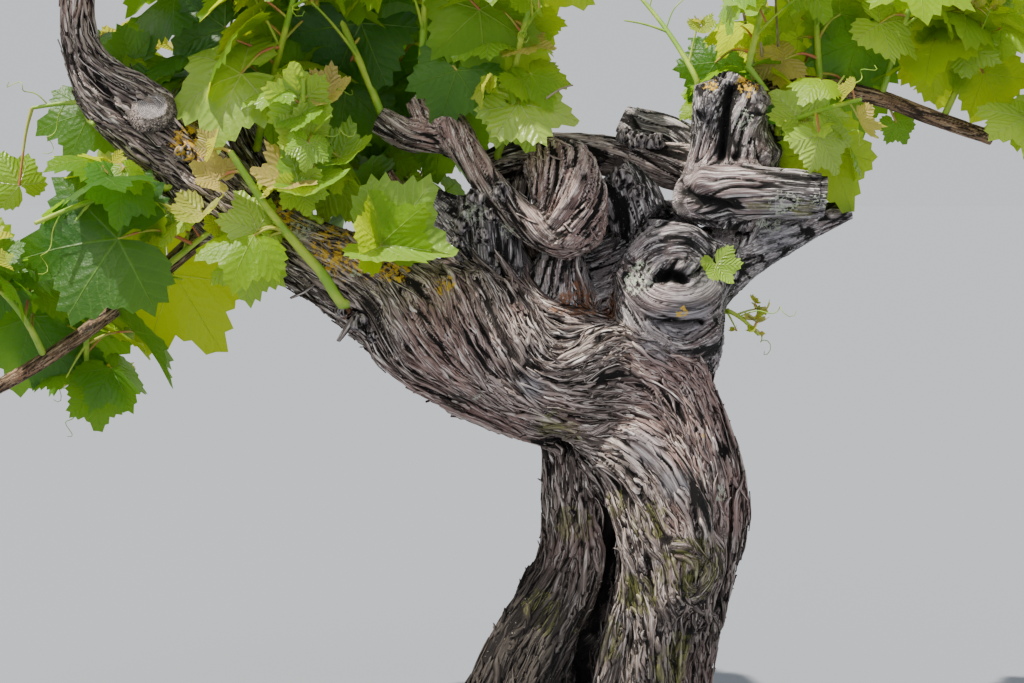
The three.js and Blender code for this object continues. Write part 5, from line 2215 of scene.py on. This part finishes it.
def leaf_tree() -> NodesTree:
    """Sets a leaf on each point, picked from a collection and turned by its stored axes."""
    tree = NodesTree("leaves on points", dict(Blades="Collection"))
    given = {"Collection": tree.given["Blades"], "Separate Children": True, "Reset Children": True}
    blades = tree.node("GeometryNodeCollectionInfo", given).outputs[0]
    axes = {
        "Primary Axis": tree.stored("above", "FLOAT_VECTOR"),
        "Secondary Axis": tree.stored("forward", "FLOAT_VECTOR"),
    }
    given = {
        "Points": tree.given["Geometry"],
        "Instance": blades,
        "Pick Instance": True,
        "Instance Index": tree.stored("pick", "INT"),
        "Rotation": tree.node(
            "FunctionNodeAxesToRotation", axes, primary_axis="Z", secondary_axis="Y"
        ).outputs[0],
        "Scale": tree.stored("size", "FLOAT"),
    }
    tree.close(tree.node("GeometryNodeInstanceOnPoints", given).outputs["Instances"])
    return tree


def stem_tree() -> NodesTree:
    """Turns curves into round stems of the curves' own radius."""
    tree = NodesTree("stems on curves", dict(Sides="Int"))
    given = {"Resolution": tree.given["Sides"], "Radius": 1.0}
    ring = tree.node("GeometryNodeCurvePrimitiveCircle", given, mode="RADIUS").outputs["Curve"]
    given = {
        "Curve": tree.given["Geometry"],
        "Profile Curve": ring,
        "Scale": tree.node("GeometryNodeInputRadius").outputs["Radius"],
        "Fill Caps": True,
    }
    tree.close(tree.node("GeometryNodeCurveToMesh", given).outputs["Mesh"])
    return tree


@dataclass(frozen=True)
class LeafFinish:
    """A leaf's colours: two that its tone and cloudy patches blend, its veins, and the light that comes
    through.
    """

    name: str
    heart: Triple
    rim: Triple
    vein: Triple
    through: Triple
    glow: float = 0.42
    roughness: float = 0.42
    pleats: float = 0.3

    def make(self, groups: Groups) -> Material:
        """Makes the material.

        Args:
            groups: The shared node groups.

        Returns:
            The material.
        """
        material, board = new_material(self.name)
        main, side, puff = board.use(groups.veins, leaf=board.course("leaf"))
        places = board.places()
        cloud = board.clouds(places, 60, 3)
        tone = board.plus(board.times(board.fact("tone"), 0.75), board.times(cloud, 0.35))
        colour = board.mix(board.rise(tone, 0.15, 0.95), self.heart, self.rim)
        lines = board.plus(board.times(main, 0.75), board.times(side, 0.24), clamp=True)
        colour = board.mix(lines, colour, self.vein)
        glow = board.mix(board.times(lines, 0.5), self.through, self.vein)
        height = board.minus(board.times(puff, self.pleats), board.times(main, 0.7))
        height = board.plus(height, board.times(board.clouds(places, 300, 3), 0.8))
        normal = board.bump(height, 0.0012, 0.8)
        shader = board.surface(colour, self.roughness, normal, {"Specular IOR Level": 0.45})
        lit = board.node("ShaderNodeBsdfTranslucent", {"Color": glow, "Normal": normal}).outputs[0]
        board.finish(board.node("ShaderNodeMixShader", (self.glow, shader, lit)).outputs[0])
        return material


LEAF_FINISHES = {
    Tint.BRIGHT: LeafFinish("bright leaf", (0.06, 0.19, 0.004), (0.22, 0.40, 0.010), (0.40, 0.56, 0.09),
                            (0.72, 0.86, 0.004), glow=0.5),
    # Painted shade: a darker copy of the bright leaf for leaves in shade.
    Tint.DEEP: LeafFinish("deep leaf", (0.016, 0.075, 0.010), (0.055, 0.17, 0.012), (0.19, 0.34, 0.06),
                          (0.32, 0.62, 0.006), glow=0.42),
    # Partly the paler colour of young leaves, partly a painted sheen.
    Tint.PALE: LeafFinish("pale leaf", (0.15, 0.33, 0.025), (0.36, 0.52, 0.08), (0.58, 0.68, 0.26),
                          (0.62, 0.82, 0.02), glow=0.36, roughness=0.25, pleats=0.6),
    Tint.YOUNG: LeafFinish("young leaf", (0.30, 0.47, 0.035), (0.55, 0.40, 0.14), (0.62, 0.42, 0.20),
                           (0.74, 0.76, 0.05), glow=0.45, pleats=0.7),
}


@dataclass(frozen=True)
class StemFinish:
    """A soft stem's colours, from its plain colour to its blush, in cloudy patches."""

    name: str
    plain: Triple
    blush: Triple
    depth: Triple = (0.002, 0.003, 0.0008)

    def make(self) -> Material:
        """The material."""
        material, board = new_material(self.name)
        places = board.places()
        fine = board.clouds(places, 900, 3)
        colour = board.mix(board.rise(board.clouds(places, 38, 3), 0.4, 0.62), self.plain, self.blush)
        colour = board.mix(board.rise(fine, 0.5, 0.85, (0.0, 0.15)), colour, (0.7, 0.75, 0.4))
        soft = {"Subsurface Weight": 0.15, "Subsurface Radius": self.depth}
        board.finish(board.surface(colour, 0.5, board.bump(fine, 0.0002), soft))
        return material


STEM_FINISHES = {
    "dry_twigs": StemFinish("dry twig", (0.13, 0.085, 0.06), (0.34, 0.26, 0.20)),
    "green_stems": StemFinish("green stem", (0.20, 0.38, 0.025), (0.40, 0.52, 0.05)),
    "leaf_stalks": StemFinish("leaf stalk", (0.36, 0.40, 0.05), (0.46, 0.14, 0.07)),
}


# Last year's dead twigs, as stations (x, y, z, radius)
DRY_TWIGS = (
    ((140, 24, 582, 1.7), (132, 28, 622, 1.4), (124, 30, 664, 1.2), (116, 34, 716, 0.8)),
    ((146, 24, 584, 1.6), (140, 26, 630, 1.3), (137, 24, 680, 1.1), (138, 20, 730, 0.7)),
    ((154, 26, 580, 1.5), (156, 30, 622, 1.2), (154, 34, 668, 1.0), (158, 36, 712, 0.7)),
    ((-52, -38, 566, 1.2), (-44, -44, 576, 1.0), (-32, -46, 584, 0.8), (-22, -46, 587, 0.6)),
)


@dataclass
class Foliage:
    """All the shoots: stems, leaf stalks, tendrils and leaves, each kind in pieces of its own.

    margin is how far leaves may pass the box of the frame, clearance how far they keep off the wood, and
    probe the points of a blade, as (degrees from its tip, reach), that are tested. tip_leaves are added at
    each tip, and fine_share finer leaves for each leaf of the rule, each kind numbered from its own number.
    """

    # How far a lone leaf keeps others off: the middle of what it covers, and its reach, over its size
    MIDDLE = 0.4
    COVER = 0.62
    # How far, and how often, a lone leaf steps off the wood, and the radii of its stalk
    STEP = 6
    STEPS = 7
    STALK = (1.9, 1.3, 1.1)

    wood: Wood
    box: tuple
    margin: float = 8.0
    clearance: float = 2.5
    probe: tuple = ((0, 1.0), (52, 0.9), (-52, 0.9), (112, 0.8), (-112, 0.8), (0, 0.5))
    tip_leaves: int = 3
    tip_number: int = 31
    fine_share: float = 0.6
    fine_number: float = 11.5
    fine_size: float = 0.72
    leaves: list = field(default_factory=list)
    stems: list = field(default_factory=list)
    stalks: list = field(default_factory=list)

    def clear(self, places: Array) -> bool:
        """Whether points keep off the wood, the ground and the edge of the vine's reach."""
        low, high = (np.array(corner) / MM for corner in self.box)
        inside = (places > low - self.margin).all() and (places < high + self.margin).all()
        return bool(inside and self.wood_gaps(places).min() > self.clearance)

    @classmethod
    def shown(cls, places: Array) -> bool:
        """Whether points leave open what shows past the leaves from the front."""
        flat = places[:, [0, 2]]
        middle = places.mean(axis=0)
        for start, end, half, sky in VIEWS:
            if not sky and places[:, 1].mean() > 0:
                continue
            start, way = np.array(start, float), np.array(end, float) - np.array(start, float)
            along = np.clip((flat - start) @ way / (way @ way), 0, 1)
            if (np.linalg.norm(flat - start - along[:, None] * way, axis=1) < half).any():
                return False
        for seen in SEEN_LEAVES:
            angle = math.radians(seen.aim)
            tip = np.array((math.cos(angle), 0, math.sin(angle)))
            centre = np.array(seen.foot) + cls.MIDDLE * seen.size * tip
            gap = math.hypot(middle[0] - centre[0], middle[2] - centre[2])
            if gap < cls.COVER * seen.size and middle[1] < centre[1] + 4:
                return False
        return True

    def add_seen(self) -> None:
        """Adds the leaves that show on their own, each on a stalk from the nearest stem."""
        stems = np.concatenate([stem[:, :3] for stem in self.stems])
        for number, seen in enumerate(SEEN_LEAVES):
            leaf = seen.leaf(number)
            away = (-1 if leaf.foot[1] < 0 else 1) * self.STEP * BEHIND
            for _ in range(self.STEPS):
                if self.wood_gaps(self.outline(leaf)).min() > self.clearance:
                    break
                leaf = replace(leaf, foot=leaf.foot + away, root=leaf.foot + away)
            cost = np.linalg.norm(stems - (leaf.foot - 0.35 * leaf.size * leaf.forward), axis=1)
            root = stems[np.argmin(cost)]
            self.leaves.append(replace(leaf, root=root, pick=leaf.pick * 2 + seen.young))
            arch = (root + leaf.foot) / 2 + UP * 0.14 * np.linalg.norm(leaf.foot - root)
            self.stalks.append([(*place, r) for place, r in zip((root, arch, leaf.foot), self.STALK)])

    def wood_gaps(self, places: Array, reach: float = 20) -> Array:
        """How far each point is from the nearest wood."""
        least = np.full(len(places), FAR)
        for strand in self.wood.strands:
            if strand.guide:
                continue
            index = strand.near(places, reach)
            if len(index):
                least[index] = np.minimum(least[index], strand.measure(places[index])["gap"])
        return least

    def outline(self, leaf: Leaf) -> Array:
        """A few points of a leaf and its stalk, to test where it lies."""
        sideways = np.cross(leaf.forward, leaf.above)
        rows = [leaf.foot, leaf.root * 0.35 + leaf.foot * 0.65]
        for degrees, reach in self.probe:
            a = math.radians(degrees)
            rows.append(
                leaf.foot + leaf.size * reach * (leaf.forward * math.cos(a) + sideways * math.sin(a))
                - leaf.above * GROWTH.sag * leaf.size * reach * reach
            )
        return np.array(rows)

    def add_leaf(self, shoot: Shoot, k: float, share: float | None = None, scale: float = 1.0) -> None:
        """Adds a leaf on the first of its turns that keeps clear.

        Args:
            shoot: The shoot.
            k: The leaf's number.
            share: Where on the shoot it sits, if not where its number puts it.
            scale: Its size over the rule's.
        """
        for attempt in range(TURN_TRIES):
            leaf = shoot.leaf_at(k, attempt, share, scale)
            outline = self.outline(leaf)
            if self.clear(outline) and self.shown(outline[2:]):
                self.leaves.append(replace(leaf, pick=leaf.pick * 2 + (leaf.tint is Tint.YOUNG)))
                arch = (leaf.root + leaf.foot) / 2 + UP * 0.06 * leaf.size
                thick = 0.55 + 0.011 * leaf.size
                self.stalks.append(((*leaf.root, thick * 1.25), (*arch, thick), (*leaf.foot, thick * 0.9)))
                return

    def grow(self, shoot: Shoot, fine: bool = True) -> None:
        """Grows what a shoot carries.

        Args:
            shoot: The shoot.
            fine: Whether finer leaves, twigs and tendrils grow beside the rule's.
        """
        for k in range(shoot.leaves):
            if (k + 0.5) / shoot.leaves > shoot.bare:
                self.add_leaf(shoot, k)
        for k in range(self.tip_leaves):
            self.add_leaf(shoot, self.tip_number + k, share=0.9 + 0.05 * k, scale=0.75 - 0.17 * k)
        if not fine or shoot.bare:
            return
        count = shoot.leaves * self.fine_share
        for k in range(round(count)):
            share = min(0.2 + 0.72 * (k + chance(seed_of(shoot.name), 20 + k)) / count, 0.97)
            self.add_leaf(shoot, self.fine_number + k, share=share, scale=self.fine_size)
        for twig in shoot.side_twigs():
            self.stems.append(twig.course())
            self.grow(twig, fine=False)
        self.add_tendrils(shoot)

    def add_tendrils(self, shoot: Shoot) -> None:
        """Adds curling tendrils near a shoot's tip."""
        seed = seed_of(shoot.name)
        for k in range(TENDRILS.count):
            point, heading = shoot.at(TENDRILS.first + TENDRILS.step * k)
            outward = branching(heading, math.tau * chance(seed, 90 + k))
            outward = unit(outward + TENDRILS.onward * heading)
            across = unit(np.cross(outward, UP))
            lift = np.cross(across, outward)
            reach = TENDRILS.reach + TENDRILS.reach_spread * chance(seed, 92 + k)
            rows = []
            for n in range(TENDRILS.rows):
                t = n / (TENDRILS.rows - 1)
                turn, swing = TENDRILS.wind * t * t, TENDRILS.swing * t
                place = point + outward * reach * t**0.8 + across * swing * math.sin(turn)
                place = place + lift * (swing * math.cos(turn) - TENDRILS.fall * t * t)
                rows.append((*place, TENDRILS.thick * (1 - TENDRILS.taper * t)))
            self.stems.append(np.array(rows))

    def freed(self, rows: Array) -> Array:
        """A stem pushed out of the bough that it leaves, all but its foot."""
        for _ in range(3):
            found = self.wood.measure(rows[:, :3])
            push = np.clip(0.8 * rows[:, 3] - found["gap"], 0, None)
            push[0] = 0
            rows[:, :3] += push[:, None] * found["way"]
        return rows

    @staticmethod
    def curves(name: str, lines: list) -> Item:
        """An object of poly curves with their own radii, in metres."""
        data = bpy.data.curves.new(name, "CURVE")
        data.dimensions = "3D"
        for rows in lines:
            rows = np.array(rows)
            if len(rows) < 5:
                rows = curve_through(rows, 6.0)[0]
            spline = data.splines.new("POLY")
            spline.points.add(len(rows) - 1)
            places = np.column_stack([rows[:, :3] * MM, np.ones(len(rows))])
            spline.points.foreach_set("co", places.astype(np.float32).ravel())
            spline.points.foreach_set("radius", (rows[:, 3] * MM).astype(np.float32))
        return new_object(name, data)

    @staticmethod
    def points(leaves: list[Leaf]) -> Item:
        """An object with a point for each leaf, and the leaf's place, size and pattern stored on it."""
        mesh = bpy.data.meshes.new("leaf points")
        mesh.vertices.add(len(leaves))
        places = np.array([leaf.foot for leaf in leaves]) * MM
        mesh.vertices.foreach_set("co", places.astype(np.float32).ravel())
        for name, scale in (("forward", 1), ("above", 1), ("size", MM), ("tone", 1)):
            note(mesh, name, np.array([getattr(leaf, name) for leaf in leaves]) * scale)
        picks = mesh.attributes.new("pick", "INT", "POINT")
        picks.data.foreach_set("value", np.array([leaf.pick for leaf in leaves], np.int32))
        return new_object("leaf points", mesh)

    @staticmethod
    def patterns(name: str, blades: list[Blade]) -> bpy.types.Collection:
        """A collection of leaf patterns."""
        collection = bpy.data.collections.new(name)
        for number, blade in enumerate(blades):
            collection.objects.link(bpy.data.objects.new(f"{name}_{number:02d}", blade.mesh()))
        return collection

    def build(self, groups: Groups) -> list[Item]:
        """Grows everything.

        Args:
            groups: The shared node groups.

        Returns:
            The foliage's pieces.
        """
        self.stems += [self.freed(shoot.course()) for shoot in SHOOTS]
        self.add_seen()
        for shoot in SHOOTS:
            self.grow(shoot)
        pieces = []
        tree = stem_tree()
        for name, lines, sides in (
            ("green_stems", self.stems, 7), ("leaf_stalks", self.stalks, 5), ("dry_twigs", DRY_TWIGS, 6)
        ):
            finish = STEM_FINISHES[name].make()
            pieces.append(tree.apply(self.curves(name + "_lines", lines), name, sides=sides, finish=finish))
        tree = leaf_tree()
        blades = self.patterns("blade", [blade for pair in zip(BLADES, YOUNG_BLADES * 2) for blade in pair])
        for tint in Tint:
            leaves = [leaf for leaf in self.leaves if leaf.tint is tint]
            finish = LEAF_FINISHES[tint].make(groups)
            pieces.append(tree.apply(self.points(leaves), tint.value, blades=blades, finish=finish))
            LOG.info("%s: %d leaves", tint.value, len(leaves))
        for pattern in list(blades.objects):
            bpy.data.objects.remove(pattern)
        bpy.data.collections.remove(blades)
        return pieces


# Studio


class Studio:
    """The pale floor, the soft lights and the camera at the photograph's place."""

    CAMERA = Vector((-0.07225, -1.692, 0.5011))
    TILT = 4.351
    LENS = 70.0
    SENSOR = 36.0
    SKY = (0.94, 0.965, 1.0, 1)
    SKY_STRENGTH = 0.8
    # The way to the sun, its strength, its width in degrees and its colour
    SUN = Vector((-0.50, -0.20, 1.0))
    SUN_STRENGTH = 8.6
    SUN_WIDTH = 1.2
    SUN_COLOUR = (1.0, 0.94, 0.83)
    # The soft lights: name, place, what it looks at, width, watts, colour
    LIGHTS = (
        ("key", (-1.5, -1.7, 2.2), (-0.05, 0, 0.4), 0.8, 16, (1.0, 0.97, 0.92)),
        ("fill", (2.0, -1.6, 1.1), (0, 0, 0.4), 1.6, 6, (0.9, 0.95, 1.0)),
    )
    FLOOR_HALF = 60.0
    FLOOR = {"Base Color": (0.24, 0.259, 0.293, 1), "Roughness": 0.95, "Specular IOR Level": 0.1}

    def build(self) -> None:
        """Makes all of it."""
        scene = bpy.context.scene
        scene.world = bpy.data.worlds.new("studio")
        scene.world.use_nodes = True
        background = scene.world.node_tree.nodes["Background"]
        background.inputs["Color"].default_value = self.SKY
        background.inputs["Strength"].default_value = self.SKY_STRENGTH
        self.floor()
        for row in self.LIGHTS:
            self.light(*row)
        sun = bpy.data.lights.new("sun", "SUN")
        sun.energy, sun.angle, sun.color = self.SUN_STRENGTH, math.radians(self.SUN_WIDTH), self.SUN_COLOUR
        new_object("sun", sun).rotation_euler = self.SUN.to_track_quat("Z", "Y").to_euler()
        lens = bpy.data.cameras.new("photograph")
        lens.lens, lens.sensor_width, lens.clip_start = self.LENS, self.SENSOR, 0.05
        scene.camera = new_object("photograph", lens)
        scene.camera.location = self.CAMERA
        scene.camera.rotation_euler = (math.radians(90 - self.TILT), 0, 0)

    def floor(self) -> None:
        """A wide pale floor, as bright in the sun as the air behind it."""
        half = self.FLOOR_HALF
        places = [(x, y, 0.0) for y in (-half, half) for x in (-half, half)]
        plane = new_object("floor", mesh_from("floor", np.array(places), np.array([(0, 1, 3, 2)])))
        material = bpy.data.materials.new("floor")
        material.use_nodes = True
        shader = material.node_tree.nodes["Principled BSDF"]
        for name, value in self.FLOOR.items():
            shader.inputs[name].default_value = value
        plane.data.materials.append(material)
        plane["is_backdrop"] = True

    @staticmethod
    def light(name: str, place: Triple, aim: Triple, size: float, watts: float, colour: Triple) -> None:
        """Adds a square soft light that looks at a point."""
        data = bpy.data.lights.new(name, "AREA")
        data.size, data.energy, data.color = size, watts, colour
        lamp = new_object(name, data)
        lamp.location = place
        lamp.rotation_euler = (Vector(aim) - Vector(place)).to_track_quat("-Z", "Y").to_euler()


def finished(made: Item, nodes: tuple[str, ...], finish: Material | None = None) -> Item:
    """Ties a piece to the frame and reports it.

    Args:
        made: The piece.
        nodes: The nodes that it replaces.
        finish: Its material, if it has none yet.

    Returns:
        The piece.
    """
    if finish is not None:
        made.data.materials.append(finish)
    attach(made, "root")
    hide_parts(*nodes)
    LOG.info("%s: %d faces", made.name, len(made.data.polygons))
    return made


def main() -> None:
    """Builds the vine in order and reports each piece."""
    logging.basicConfig(level=logging.INFO, format="%(message)s")
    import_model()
    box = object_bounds()
    groups = Groups()
    wood = Wood()
    finishes = {slot: finish.make(groups) for slot, finish in BARKS.items()}
    bark = {
        piece.limbs: finished(piece.build(wood), piece.limbs, finishes[piece.slot])
        for piece in WOOD_PIECES
    }
    for strips in STRIPS:
        under = [made for limbs, made in bark.items() if set(limbs) & set(strips.limbs)]
        finished(strips.build(wood, under), strips.limbs, finishes[strips.slot])
    finished(small_bark(wood), ("trunk", "long_arm", "long_arm_rise"), finishes["old_bark"])
    shoots = tuple(shoot.name for shoot in SHOOTS)
    for made in Foliage(wood, box).build(groups):
        finished(made, shoots)
    Studio().build()
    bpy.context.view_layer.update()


if __name__ == "__main__":
    main()
